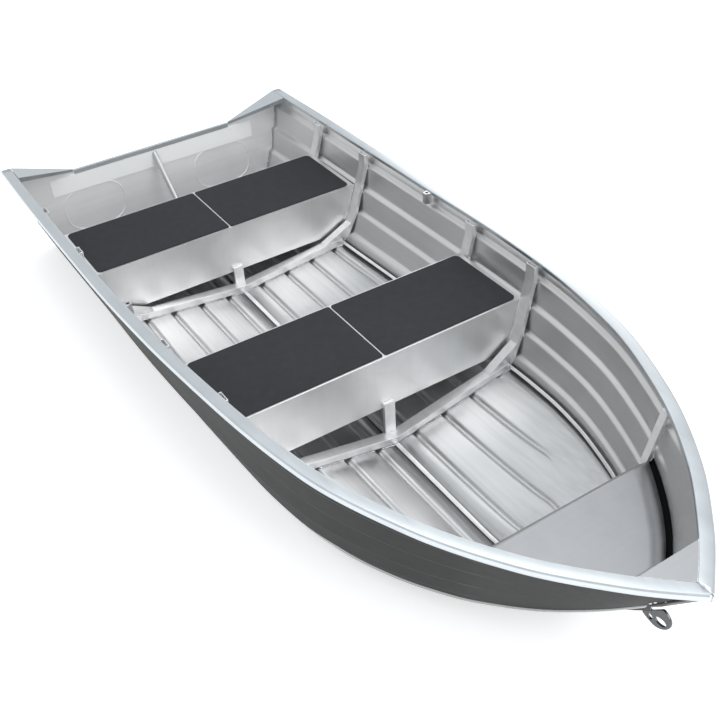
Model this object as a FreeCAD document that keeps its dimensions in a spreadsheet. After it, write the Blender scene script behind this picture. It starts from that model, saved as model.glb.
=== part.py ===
"""Open rowing boat of pressed and welded aluminium sheet, with a V bow.

The boat is drawn in a builder's frame, in millimetres: X forward from the stern corners of the
gunwale, Y to port, Z up from the inside of the bottom on the centreline.  Each piece is then
placed so that the origin is on the centreline at the empty boat's waterline.
"""
import FreeCAD, Part
import Sketcher
import math
import os

from FreeCAD import Placement, Rotation, Vector

os.makedirs("parts", exist_ok=True)
doc = FreeCAD.newDocument("rowing_boat")

# Driving dimensions, millimetres and degrees
SIZES = {
    "hull_length": 3500.0,
    "gunwale_half_breadth": 735.0,
    "gunwale_height_stern": 516.0,
    "gunwale_height_bow": 576.0,
    "chine_half_breadth": 549.0,
    "chine_height": 72.0,
    "chine_height_bow": 385.0,
    "keel_height_stern": 50.0,
    "keel_height_fore": 9.0,
    "forefoot_run": 900.0,
    "waterline_height": 89.0,
    "flotation_centre": 1260.0,
    "transom_rake_deg": 5.0,
    "bottom_sheet": 2.5,
    "side_sheet": 2.0,
    "plate": 3.0,
    "fit": 0.3,
    "swage_pitch": 132.5,
    "swage_first": 85.0,
    "swage_half_width": 14.0,
    "swage_depth": 9.0,
    "ledge_width": 18.0,
    "ledge_rise": 11.0,
    "gunwale_width": 44.0,
    "gunwale_wall": 3.0,
    "gunwale_lip": 24.0,
    "gunwale_inner_lip": 16.0,
    "gunwale_nose": 5.0,
    "gunwale_slot_inset": 14.0,
    "keel_web": 3.0,
    "keel_flange": 9.0,
    "keel_depth": 24.0,
    "keel_bar": 12.0,
    "keel_wall": 2.5,
    "chine_bar": 6.0,
    "chine_lip": 8.0,
    "chine_inner": 12.0,
    "stem_leg": 24.0,
    "stem_wall": 4.0,
    "transom_height": 420.0,
    "transom_half_top": 405.0,
    "cap_width": 14.0,
    "cap_depth": 18.0,
    "doubler_half": 530.0,
    "doubler_drop": 82.0,
    "doubler_wall": 4.0,
    "motor_plate_half": 170.0,
    "motor_plate_height": 190.0,
    "motor_plate_wall": 5.0,
    "thwart_run": 391.0,
    "thwart_aft_front": 826.5,
    "thwart_mid_front": 2033.0,
    "thwart_aft_height": 352.0,
    "thwart_mid_height": 398.0,
    "thwart_aft_depth": 222.0,
    "thwart_mid_depth": 229.0,
    "thwart_aft_back_gap": 1.7,
    "thwart_aft_front_gap": 3.8,
    "thwart_mid_back_gap": 10.3,
    "thwart_mid_front_gap": -5.9,
    "thwart_aft_cut": 74.0,
    "thwart_mid_cut": 50.0,
    "thwart_wall": 2.5,
    "pad_margin": 8.0,
    "pad_aft_end_margin": 20.0,
    "pad_mid_end_margin": 13.0,
    "pad_gap": 8.0,
    "pad_thickness": 3.0,
    "pad_corner": 22.0,
    "frame_width": 50.0,
    "frame_depth": 18.0,
    "frame_wall": 3.0,
    "frame_overlap": 10.0,
    "short_frame_tail": 34.0,
    "floor_frame_height": 30.0,
    "floor_frame_flange": 43.0,
    "floor_frame_set": 12.0,
    "post_width": 46.0,
    "post_depth": 17.0,
    "gusset_rise": 60.0,
    "gusset_run": 95.0,
    "gusset_flange": 38.0,
    "brace_diameter": 26.0,
    "brace_wall": 2.5,
    "brace_foot": 400.0,
    "knee_reach": 115.0,
    "knee_flange": 20.0,
    "handle_span": 150.0,
    "handle_inset": 70.0,
    "handle_reach": 38.0,
    "handle_diameter": 16.0,
    "rowlock_station": 1350.0,
    "rowlock_bore": 13.0,
    "rowlock_root": 34.0,
    "rowlock_nose": 20.0,
    "rowlock_depth": 26.0,
    "rowlock_length": 48.0,
    "bow_plate_setback": 562.0,
    "bow_plate_run": 324.0,
    "bow_plate_drop": 176.0,
    "bow_plate_gap": 14.0,
    "bow_plate_margin": 60.0,
    "bow_plate_turn": 12.0,
    "bow_plate_flange": 26.0,
    "bow_eye_wall": 8.0,
    "bow_eye_bore": 22.0,
    "bow_eye_pin_bore": 11.0,
    "bow_eye_reach": 40.0,
    "overrun": 60.0,
    "stem_half_angle_deg": 50.0,
    "frame_gap": 0.8,
    "bow_frame_gap": 8.0,
    "stem_gap": 6.8,
    "seam_gap": 0.6,
    "corner_cut_rise": 60.0,
    "post_lap": 26.0,
    "knee_lift": 3.6,
    "handle_bend": 20.0,
    "rowlock_drop": 6.0,
    "bow_eye_drop": 276.0,
    "bow_eye_root": 104.0,
    "bow_eye_rise": 28.0,
    "bow_eye_end": 40.0,
    "bow_eye_hole_pitch": 31.0,
    "bow_eye_hole_drop": 13.0,
}

sheet = doc.addObject("Spreadsheet::Sheet", "Sizes")
for row, (alias, value) in enumerate(SIZES.items(), start=1):
    sheet.set(f"A{row}", alias)
    sheet.set(f"B{row}", str(value))
    sheet.setAlias(f"B{row}", alias)
doc.recompute()


def size(alias):
    """Return the sheet's value for an alias as a plain number."""
    return float(sheet.get(alias))


LENGTH = size("hull_length")
FIT = size("fit")
HULL_SHIFT = Placement(Vector(-size("flotation_centre"), 0, -size("waterline_height")), Rotation())
RAKE = math.tan(math.radians(size("transom_rake_deg")))
SHEER_STERN = size("gunwale_height_stern")
SHEER_BOW = size("gunwale_height_bow")
FOREFOOT = LENGTH - size("forefoot_run")
SIDES = (("port", 1), ("starboard", -1))

# Shares of the hull's length where the lines are drawn, and the lines as shares of their sizes
STATION_SHARES = (0.0, 0.045, 0.13, 0.22, 0.30, 0.386, 0.485, 0.585, 0.63, 0.68, 0.725, 0.77, 0.795,
                  0.84, 0.87, 0.90, 0.93, 0.955, 0.975, 1.0)
SHEER_PLACE_SHARES = (0.0, 0.15, 0.30, 0.45, 0.60, 0.72, 0.82, 0.90, 0.96, 1.0)
SHEER_BREADTH_SHARES = (0.988, 1.0, 1.0, 0.986, 0.941, 0.855, 0.685, 0.463, 0.218, 0.019)
SHEER_RISE_PLACE_SHARES = (0.0, 0.33, 0.66, 1.0)
SHEER_RISE_SHARES = (0.0, 0.2, 0.97, 1.0)
CHINE_PLACE_SHARES = (0.0, 0.263, 0.4185, 0.625, 0.6875, 0.747, 0.807, 0.867, 0.897, 0.936, 0.9716, 1.0)
CHINE_BREADTH_SHARES = (0.965, 0.975, 1.0, 0.993, 0.972, 0.909, 0.794, 0.632, 0.538, 0.402, 0.213, 0.003)
CHINE_RISE_SHARES = (0.0, 0.08, 0.1166, 0.1773, 0.211, 0.262, 0.337, 0.458, 0.56, 0.727, 0.88, 1.0)
KEEL_PLACE_SHARES = (0.0, 0.335, 0.46, 0.8, 0.935, 1.0)
KEEL_DROP_SHARES = (0.0, 0.25, 0.39, 0.77, 0.92, 1.0)
STEM_POWER_SHARE = 2.2
HALVINGS = 40
SEATINGS = 4
STEP_SHARE = 1e-4
LEDGE_SHARES = (0.105, 0.33, 0.588, 0.84)
LEDGE_BREADTH_SHARES = (0.235, 0.506, 0.686, 0.867)
SWAGE_LIMIT_SHARES = (0.25, 0.5, 0.72, 0.9)
SWAGE_END_SHARES = (0.87, 0.84, 0.77, 0.63)
SWAGE_RUNOUT_SHARE = 0.045
SWAGE_FLOOR_SHARE = 0.3
BOW_BLEND_START_SHARE = 0.72
BREAST_SHARES = (0.955, 0.975, 1.0)
BREAST_FRONT_SHARE = 0.36
NOSE_ROUND_SHARE = 0.3
BOW_PLATE_SHARES = (0.0, 0.33, 0.67, 1.0)
EYE_SHARES = (1.0, 0.667, 0.333, 0.0)


def smooth(places, values):
    """Return a function that runs smoothly through values at places, without overshoot."""
    steps = [b - a for a, b in zip(places, places[1:])]
    slopes = [(b - a) / step for a, b, step in zip(values, values[1:], steps)]
    ends = [slopes[0]]
    for before, after in zip(slopes, slopes[1:]):
        ends.append(0.0 if before * after <= 0 else 2 * before * after / (before + after))
    ends.append(slopes[-1])

    def value_at(place):
        index = max(i for i in range(len(steps)) if places[i] <= place or i == 0)
        step = steps[index]
        part = (place - places[index]) / step
        rise = values[index + 1] - values[index]
        cubic = part * part * (3 - 2 * part)
        start = ends[index] * step * part * (1 - part) ** 2
        finish = ends[index + 1] * step * part * part * (part - 1)
        return values[index] + rise * cubic + start + finish

    return value_at


sheer_breadth_share = smooth(SHEER_PLACE_SHARES, SHEER_BREADTH_SHARES)
sheer_rise_share = smooth(SHEER_RISE_PLACE_SHARES, SHEER_RISE_SHARES)
chine_breadth_share = smooth(CHINE_PLACE_SHARES, CHINE_BREADTH_SHARES)
chine_rise_share = smooth(CHINE_PLACE_SHARES, CHINE_RISE_SHARES)
keel_drop_share = smooth(KEEL_PLACE_SHARES, KEEL_DROP_SHARES)


def transom_x(height):
    """Return the place of the raked transom's inner face at a height."""
    return size("plate") + (SHEER_STERN - height) * RAKE


def sheer_point(share):
    """Return the outer top edge of the gunwale at a share of the length."""
    rise = SHEER_BOW - SHEER_STERN
    return Vector(share * LENGTH,
                  size("gunwale_half_breadth") * sheer_breadth_share(share),
                  SHEER_STERN + rise * sheer_rise_share(share))


def sheer_normal(share):
    """Return the level direction that points outboard from the gunwale at a share."""
    low = min(share, 1 - STEP_SHARE)
    run = sheer_point(low + STEP_SHARE) - sheer_point(low)
    return Vector(-run.y, run.x, 0).normalize()


def rail_point(share, inset, drop):
    """Return a point of the gunwale's section, inset inboard and dropped below its top."""
    point = sheer_point(share) - sheer_normal(share) * inset
    return Vector(point.x, point.y, point.z - drop)


def stem_place(height):
    """Return where the stem line reaches a height."""
    fore = size("keel_height_fore")
    rise = (height - fore) / (SHEER_BOW - fore)
    return FOREFOOT + size("forefoot_run") * rise ** (1 / STEM_POWER_SHARE)


CHINE_END = stem_place(size("chine_height_bow"))


def chine_point(share):
    """Return the inner corner of the chine at a share of its length."""
    rise = size("chine_height_bow") - size("chine_height")
    height = size("chine_height") + rise * chine_rise_share(share)
    start = transom_x(height)
    return Vector(start + share * (CHINE_END - start),
                  size("chine_half_breadth") * chine_breadth_share(share), height)


def keel_height(place):
    """Return the height of the inside of the bottom on the centreline."""
    fore = size("keel_height_fore")
    if place <= FOREFOOT:
        stern = size("keel_height_stern")
        return stern - (stern - fore) * keel_drop_share(max(0.0, place / FOREFOOT))
    share = (place - FOREFOOT) / size("forefoot_run")
    return fore + (SHEER_BOW - fore) * share ** STEM_POWER_SHARE


def shares_of(low, high):
    """Return the station shares between two limits, both limits with them."""
    inside = [share for share in STATION_SHARES if low < share < high]
    return [low] + inside + [high]


def offset_line(points, distance):
    """Return an open line of (y, z) points set off to its right by a distance."""
    normals = []
    for (ya, za), (yb, zb) in zip(points, points[1:]):
        span = math.hypot(yb - ya, zb - za)
        normals.append(((zb - za) / span, -(yb - ya) / span))
    moved = []
    for index, (y, z) in enumerate(points):
        before = normals[max(index - 1, 0)]
        after = normals[min(index, len(normals) - 1)]
        across = 1 + before[0] * after[0] + before[1] * after[1]
        moved.append((y + distance * (before[0] + after[0]) / across,
                      z + distance * (before[1] + after[1]) / across))
    return moved


def loft(wires):
    """Return the solid whose straight strips join closed wires of equal point count."""
    solid = Part.makeLoft(wires, True, True)
    if solid.Volume < 0:
        solid.reverse()
    return solid


def closed(points):
    """Return the closed wire through points."""
    return Part.makePolygon(list(points) + [points[0]])


def bottom_slope(share):
    """Return the deadrise angle of the bottom at a share of the chine."""
    corner = chine_point(share)
    return math.atan2(corner.z - keel_height(corner.x), corner.y)


def section_line(share):
    """Return the inner line of the side at a share, from the chine to the gunwale slot."""
    low = chine_point(share)
    top = rail_point(share, size("gunwale_slot_inset"), size("gunwale_wall") + FIT)
    start = transom_x(top.z)
    top.x = start + top.x * (1 - start / LENGTH)
    blend = max(0.0, (share - BOW_BLEND_START_SHARE) / (1 - BOW_BLEND_START_SHARE))
    fade = max(0.0, 1 - blend * blend)
    half_ledge = size("ledge_width") * fade / 2

    line = [(low.y, low.z)]
    for part, curve in zip(LEDGE_SHARES, LEDGE_BREADTH_SHARES):
        height = low.z + (top.z - low.z) * part
        base = low.y + (top.y - low.y) * (curve + (part - curve) * blend)
        line.append((base - half_ledge, height - size("ledge_rise") / 2))
        line.append((base + half_ledge, height + size("ledge_rise") / 2))
    line.append((top.y, top.z))
    return line, low, top


def chine_directions(share):
    """Return the (y, z) directions of bottom, side and outward bisector at the chine."""
    slope = bottom_slope(share)
    line = section_line(share)[0]
    bottom = (math.cos(slope), math.sin(slope))
    rise = (line[1][0] - line[0][0], line[1][1] - line[0][1])
    span = math.hypot(*rise)
    side = (rise[0] / span, rise[1] / span)
    out = (bottom[0] - side[0], bottom[1] - side[1])
    length = math.hypot(*out)
    return bottom, side, (out[0] / length, out[1] / length)


def chine_setback(direction, out):
    """Return how far a sheet stops short of the chine corner, clear of the chine bar."""
    across = abs(direction[0] * out[1] - direction[1] * out[0])
    return (size("chine_bar") / 2 + 2 * FIT) / across


def side_wire(share):
    """Return the closed section of the side sheet at a share."""
    line, low, top = section_line(share)
    side, out = chine_directions(share)[1:]
    back = chine_setback(side, out)
    line = [(low.y + side[0] * back, low.z + side[1] * back)] + line[1:]
    outer = offset_line(line, size("side_sheet"))
    lean = (top.x - low.x) / (top.z - low.z)
    points = [Vector(low.x + (z - low.z) * lean, y, z) for y, z in line + outer[::-1]]
    return closed(points)


def bottom_line(share):
    """Return the inner (y, z) line of the bottom with its pressed grooves."""
    corner = chine_point(share)
    slope = bottom_slope(share)
    bottom, side, out = chine_directions(share)
    back = chine_setback(bottom, out)
    start = size("keel_web") / 2 + size("seam_gap")
    keel = keel_height(corner.x)
    line = [(start, keel + start * math.tan(slope))]
    edge = corner.y - bottom[0] * back
    limit = corner.y / size("chine_half_breadth")
    room = edge - start - size("chine_bar") * limit
    for index, (bound, end) in enumerate(zip(SWAGE_LIMIT_SHARES, SWAGE_END_SHARES)):
        place = min(size("swage_first") + index * size("swage_pitch"), start + bound * room)
        half = size("swage_half_width") * min(1.0, limit)
        aft = min(1.0, share / SWAGE_RUNOUT_SHARE)
        fore = min(1.0, max(0.0, (end - share) / SWAGE_RUNOUT_SHARE))
        depth = size("swage_depth") * aft * fore
        flat = half * SWAGE_FLOOR_SHARE
        for step, sink in ((-half, 0.0), (-flat, depth), (flat, depth), (half, 0.0)):
            y = place + step
            line.append((y + sink * math.sin(slope), keel + y * math.tan(slope) - sink * math.cos(slope)))
    line.append((edge, corner.z - bottom[1] * back))
    return line


def bottom_wire(share):
    """Return the closed section of the bottom sheet at a share of the chine."""
    line = bottom_line(share)
    outer = offset_line(line, size("bottom_sheet"))
    corner = chine_point(share)
    points = []
    for y, z in line + outer[::-1]:
        aft = transom_x(z) if share == 0 else corner.x
        points.append(Vector(aft, y, z))
    return closed(points)


def keel_wire(share):
    """Return the closed section of the keel extrusion: inner flanges, web and outer bar."""
    corner = chine_point(share)
    slope = bottom_slope(share)
    keel = keel_height(corner.x)
    web = size("keel_web") / 2
    wall = size("keel_wall")
    flange = min(size("keel_flange"), corner.y / 2)
    seam = size("seam_gap")
    under = size("bottom_sheet") + seam
    bar = size("keel_bar") / 2
    cosine = math.cos(slope)
    sine = math.sin(slope)

    def on_slope(along, above):
        return (along * cosine - above * sine, keel + along * sine + above * cosine)

    def at_side(width, above):
        return (width, keel + width * sine / cosine + above / cosine)

    right = [
        (0.0, keel + (seam + wall) / cosine),
        on_slope(flange, seam + wall),
        on_slope(flange, seam),
        at_side(web, seam),
        at_side(web, -under),
        on_slope(flange, -under),
        on_slope(flange, -under - wall),
        at_side(bar, -under - wall),
        (bar, keel - size("keel_depth")),
    ]
    line = right + [(-y, z) for y, z in right[:0:-1]]
    return closed([Vector(transom_x(z) if share == 0 else corner.x, y, z) for y, z in line])


def chine_wire(share):
    """Return the closed section of the chine extrusion between bottom and side."""
    corner = chine_point(share)
    out = chine_directions(share)[2]
    across = (-out[1], out[0])
    half = size("chine_bar") / 2
    lip = size("chine_lip")
    inner = size("chine_inner")
    line = []
    for along, side in ((-inner, -half), (lip, -half), (lip, half), (-inner, half)):
        line.append((corner.y + out[0] * along + across[0] * side,
                     corner.z + out[1] * along + across[1] * side))
    return closed([Vector(transom_x(z) if share == 0 else corner.x, y, z) for y, z in line])


def gunwale_wire(share):
    """Return the closed section of the gunwale extrusion at a share."""
    width = size("gunwale_width")
    wall = size("gunwale_wall")
    lip = size("gunwale_lip")
    inner_lip = size("gunwale_inner_lip")
    nose = size("gunwale_nose")
    bend = nose * NOSE_ROUND_SHARE
    line = (
        (nose, 0.0), (bend, bend), (0.0, nose), (0.0, lip - nose),
        (bend, lip - bend), (nose, lip), (nose, wall), (width - wall, wall),
        (width - wall, inner_lip), (width, inner_lip), (width, wall / 2), (width - wall / 2, 0.0),
    )
    return closed([rail_point(share, inset, drop) for inset, drop in line])


def mirrored(shape):
    """Return the starboard copy of a port shape."""
    return shape.mirror(Vector(0, 0, 0), Vector(0, 1, 0))


def prism(points, depth):
    """Return the solid swept from a closed outline of points along a vector."""
    return Part.Face(closed(points)).extrude(depth)


pieces = []


def piece(name, shape):
    """Add a finished shape to the document under its node name."""
    body = doc.addObject("Part::Feature", name)
    body.Label = name
    body.Shape = shape
    body.Placement = HULL_SHIFT
    pieces.append(body)


def pair(name, shape):
    """Add a port shape and its starboard mirror image."""
    piece(f"{name}_port", shape)
    piece(f"{name}_starboard", mirrored(shape))


def new_body(name):
    """Start a piece of the boat that is drawn as sketches and pads."""
    body = doc.addObject("PartDesign::Body", name)
    body.Label = name
    body.Placement = HULL_SHIFT
    pieces.append(body)
    return body


def drawing(body, name, role, distance, outlines=(), holes=(), tilt_deg=0.0):
    """Return a sketch of closed outlines or of holes, set off from one of the body's planes."""
    drawn = body.newObject("Sketcher::SketchObject", f"{body.Name}_{name}")
    drawn.AttachmentSupport = [(next(item for item in body.Origin.OriginFeatures if item.Role == role), "")]
    drawn.MapMode = "FlatFace"
    drawn.AttachmentOffset = Placement(Vector(0, 0, distance), Rotation(Vector(1, 0, 0), tilt_deg))
    for outline in outlines:
        corners = [Vector(*point, 0) for point in outline]
        lines = [drawn.addGeometry(Part.LineSegment(start, end), False)
                 for start, end in zip(corners, corners[1:] + corners[:1])]
        for line, following in zip(lines, lines[1:] + lines[:1]):
            drawn.addConstraint(Sketcher.Constraint("Coincident", line, 2, following, 1))
    for centre, diameter in holes:
        circle = Part.Circle(Vector(*centre, 0), Vector(0, 0, 1), size(diameter) / 2)
        index = drawn.addGeometry(circle, False)
        rule = drawn.addConstraint(Sketcher.Constraint("Diameter", index, size(diameter)))
        drawn.setExpression(f"Constraints[{rule}]", f"Sizes.{diameter}")
    drawn.Visibility = False
    return drawn


def padded(drawn, length, reverse=False, midplane=False):
    """Add material along a sketch's normal, by an expression of the sheet or a worked-out length."""
    feature = drawn.getParentGeoFeatureGroup().newObject("PartDesign::Pad", f"{drawn.Name}_pad")
    feature.Profile = drawn
    if isinstance(length, str):
        feature.setExpression("Length", length)
    else:
        feature.Length = length
    feature.Reversed = reverse
    feature.Midplane = midplane
    return feature


def pocketed(drawn, length, forward=True, midplane=False):
    """Take material away along a sketch's normal, its length bound to the sheet."""
    feature = drawn.getParentGeoFeatureGroup().newObject("PartDesign::Pocket", f"{drawn.Name}_pocket")
    feature.Profile = drawn
    feature.setExpression("Length", length)
    feature.Reversed = forward
    feature.Midplane = midplane
    return feature


# Hull skins and the extrusions that join them
BOTTOM_END_SHARE = 0.9946
SIDE_END_SHARE = 0.998
pair("bottom", loft([bottom_wire(share) for share in shares_of(0.0, BOTTOM_END_SHARE)]))
pair("side", loft([side_wire(share) for share in shares_of(0.0, SIDE_END_SHARE)]))
pair("chine_strip", loft([chine_wire(share) for share in shares_of(0.0, BOTTOM_END_SHARE)]))
piece("keel", loft([keel_wire(share) for share in shares_of(0.0, BOTTOM_END_SHARE)]))

reach = size("overrun")
port_half = Part.makeBox(LENGTH + 4 * reach, size("gunwale_half_breadth") * 2, LENGTH,
                         Vector(-reach, FIT / 2, -size("gunwale_half_breadth")))
pair("gunwale", loft([gunwale_wire(share) for share in shares_of(0.0, 1.0)]).common(port_half))

# Stem cap, a bent strip over the ends of the side sheets
low = chine_point(1.0)
tip = sheer_point(1.0)
KEEL_END = chine_point(BOTTOM_END_SHARE).x


def stem_wire(height):
    """Return the closed level section of the stem cap at a height."""
    place = stem_place(height)
    if height > low.z:
        place = low.x + (tip.x - low.x) * (height - low.z) / (tip.z - low.z)
    leg = size("stem_leg")
    wall = size("stem_wall")
    slant = math.radians(size("stem_half_angle_deg"))
    run = leg * math.cos(slant)
    across = leg * math.sin(slant)
    lay = wall / math.sin(slant)
    gap = size("stem_gap")
    points = [(place + gap + lay, 0.0), (place + gap + lay - run, across),
              (place + gap - run, across), (place + gap, 0.0),
              (place + gap - run, -across), (place + gap + lay - run, -across)]
    return closed([Vector(x, y, height) for x, y in points])


stem_top = tip.z - size("gunwale_lip") - FIT
stem_low = low.z - 2 * size("keel_depth")
stem = loft([stem_wire(stem_low), stem_wire((stem_low + low.z) / 2), stem_wire(low.z), stem_wire(stem_top)])
ahead = Part.makeBox(LENGTH, LENGTH, LENGTH, Vector(KEEL_END + FIT, -LENGTH / 2, 0))
piece("stem_cap", stem.common(ahead))

# Transom and what is fastened to it
wall = size("plate")
top_height = size("transom_height")
half_top = size("transom_half_top")
doubler_top = top_height - size("cap_depth")


def rectangle(low_x, high_x, low_y, high_y):
    """Return the corners of a rectangle."""
    return [(low_x, low_y), (high_x, low_y), (high_x, high_y), (low_x, high_y)]


def both_sides(points):
    """Return a closed outline from its port half, lowest point first."""
    return points + [(-y, z) for y, z in points[::-1] if y > 0]


def cross_piece(name, section, length):
    """Add a piece of one section across the boat, its length bound to the sheet."""
    padded(drawing(new_body(name), "section", "XZ_Plane", 0.0, [section]), length, midplane=True)


def raked_section(low, high, front, thickness):
    """Return the (x, z) section of a plate that lies parallel to the transom."""
    return [(transom_x(low) + front, low), (transom_x(high) + front, high),
            (transom_x(high) + front - thickness, high), (transom_x(low) + front - thickness, low)]


side_line = offset_line(section_line(0.0)[0], size("side_sheet"))
keel_low = keel_height(transom_x(0.0)) - size("bottom_sheet") / math.cos(bottom_slope(0.0))
gunwale_edge = sheer_point(0.0).y
under_rail = SHEER_STERN - size("gunwale_wall") - FIT
under_lip = SHEER_STERN - size("gunwale_inner_lip") - FIT
inside_lip = gunwale_edge - size("gunwale_width") - FIT
outside_lip = gunwale_edge - size("gunwale_width") + size("gunwale_wall") + FIT
outline = both_sides(
    [(0.0, keel_low)] + side_line[:-1]
    + [(side_line[-1][0], under_rail), (outside_lip, under_rail), (outside_lip, under_lip),
       (inside_lip, under_lip), (half_top, top_height)])
lean = 1 / math.cos(math.radians(size("transom_rake_deg")))
face = drawing(new_body("transom"), "outline", "YZ_Plane", transom_x(0.0) - FIT,
               [[(y, z * lean) for y, z in outline]], tilt_deg=-size("transom_rake_deg"))
padded(face, "Sizes.plate", reverse=True)
cross_piece("transom_doubler",
            raked_section(doubler_top - size("doubler_drop"), doubler_top, size("doubler_wall"),
                          size("doubler_wall")),
            "2 * Sizes.doubler_half")
cross_piece("motor_plate",
            raked_section(doubler_top - size("motor_plate_height"), doubler_top, -2 * FIT - wall,
                          size("motor_plate_wall")),
            "2 * Sizes.motor_plate_half")

cap_low = doubler_top + FIT
cap_front = (size("cap_width") - wall) / 2 - FIT
cap_outside = raked_section(cap_low, top_height + wall, cap_front, size("cap_width"))
cap_slot = raked_section(cap_low, top_height + FIT, 0.0, wall + 2 * FIT)
cross_piece("transom_cap", cap_outside + [cap_slot[3], cap_slot[2], cap_slot[1], cap_slot[0]],
            "2 * Sizes.transom_half_top")


# Side frames: channels whose open side lies against the corners of the hull's ledges
def side_point(place, index):
    """Return the side's inner line point of an index, as (y, z), at a place along the length."""
    low_share = 0.0
    high_share = 1.0
    for step in range(HALVINGS):
        share = (low_share + high_share) / 2
        line, low_end, top_end = section_line(share)
        y, z = line[index]
        part = (z - low_end.z) / (top_end.z - low_end.z)
        if low_end.x + (top_end.x - low_end.x) * part < place:
            low_share = share
        else:
            high_share = share
    return y, z


def ledge_corners(place):
    """Return the chine and ledge corners that a frame at a place lies against, lowest first."""
    reach = size("frame_width") / 2
    corners = []
    for index in (0, 1, 3, 5, 7):
        aft = side_point(place - reach, index)
        fore = side_point(place + reach, index)
        corners.append((min(aft[0], fore[0]), (aft[1] + fore[1]) / 2))
    return corners


def frame_line(place, low_height, high_height, inset):
    """Return a line along the ledge corners between two heights, set inboard."""
    corners = ledge_corners(place)
    last = corners[-1]
    corners.append((last[0], high_height + LENGTH))

    def breadth(height):
        for (ya, za), (yb, zb) in zip(corners, corners[1:]):
            if za <= height <= zb:
                return ya + (yb - ya) * (height - za) / (zb - za)
        return corners[-1][0]

    heights = [low_height] + [z for y, z in corners if low_height < z < high_height] + [high_height]
    return [(breadth(z) - inset, z) for z in heights]


def channel_frame(name, aft_face, low_height, high_height):
    """Add a pair of channel frames whose open sides lie against the hull."""
    depth = size("frame_depth")
    wall = size("frame_wall")
    place = aft_face + size("frame_width") / 2
    front = frame_line(place, low_height, high_height, size("frame_gap") + depth)
    back = frame_line(place, low_height, high_height, size("frame_gap"))
    inside = frame_line(place, low_height, high_height, size("frame_gap") + depth - wall)
    past = [(y + wall, z) for y, z in back]
    for side, sign in SIDES:
        body = new_body(f"{name}_{side}")
        outline = [(y * sign, z) for y, z in front + back[::-1]]
        padded(drawing(body, "outline", "YZ_Plane", aft_face, [outline]), "Sizes.frame_width")
        hollow = [(y * sign, z) for y, z in inside + past[::-1]]
        pocketed(drawing(body, "hollow", "YZ_Plane", aft_face + wall, [hollow]),
                 "Sizes.frame_width - 2 * Sizes.frame_wall")


def frame_top(place):
    """Return the height where a side frame meets the gunwale's inner lip."""
    return sheer_point(place / LENGTH).z - size("gunwale_inner_lip") - 2 * FIT


def floor_height(place, breadth):
    """Return the height of the inside of the bottom at a half breadth, grooves left out."""
    share = (place - transom_x(0.0)) / (CHINE_END - transom_x(0.0))
    return keel_height(place) + breadth * math.tan(bottom_slope(share))


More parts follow.
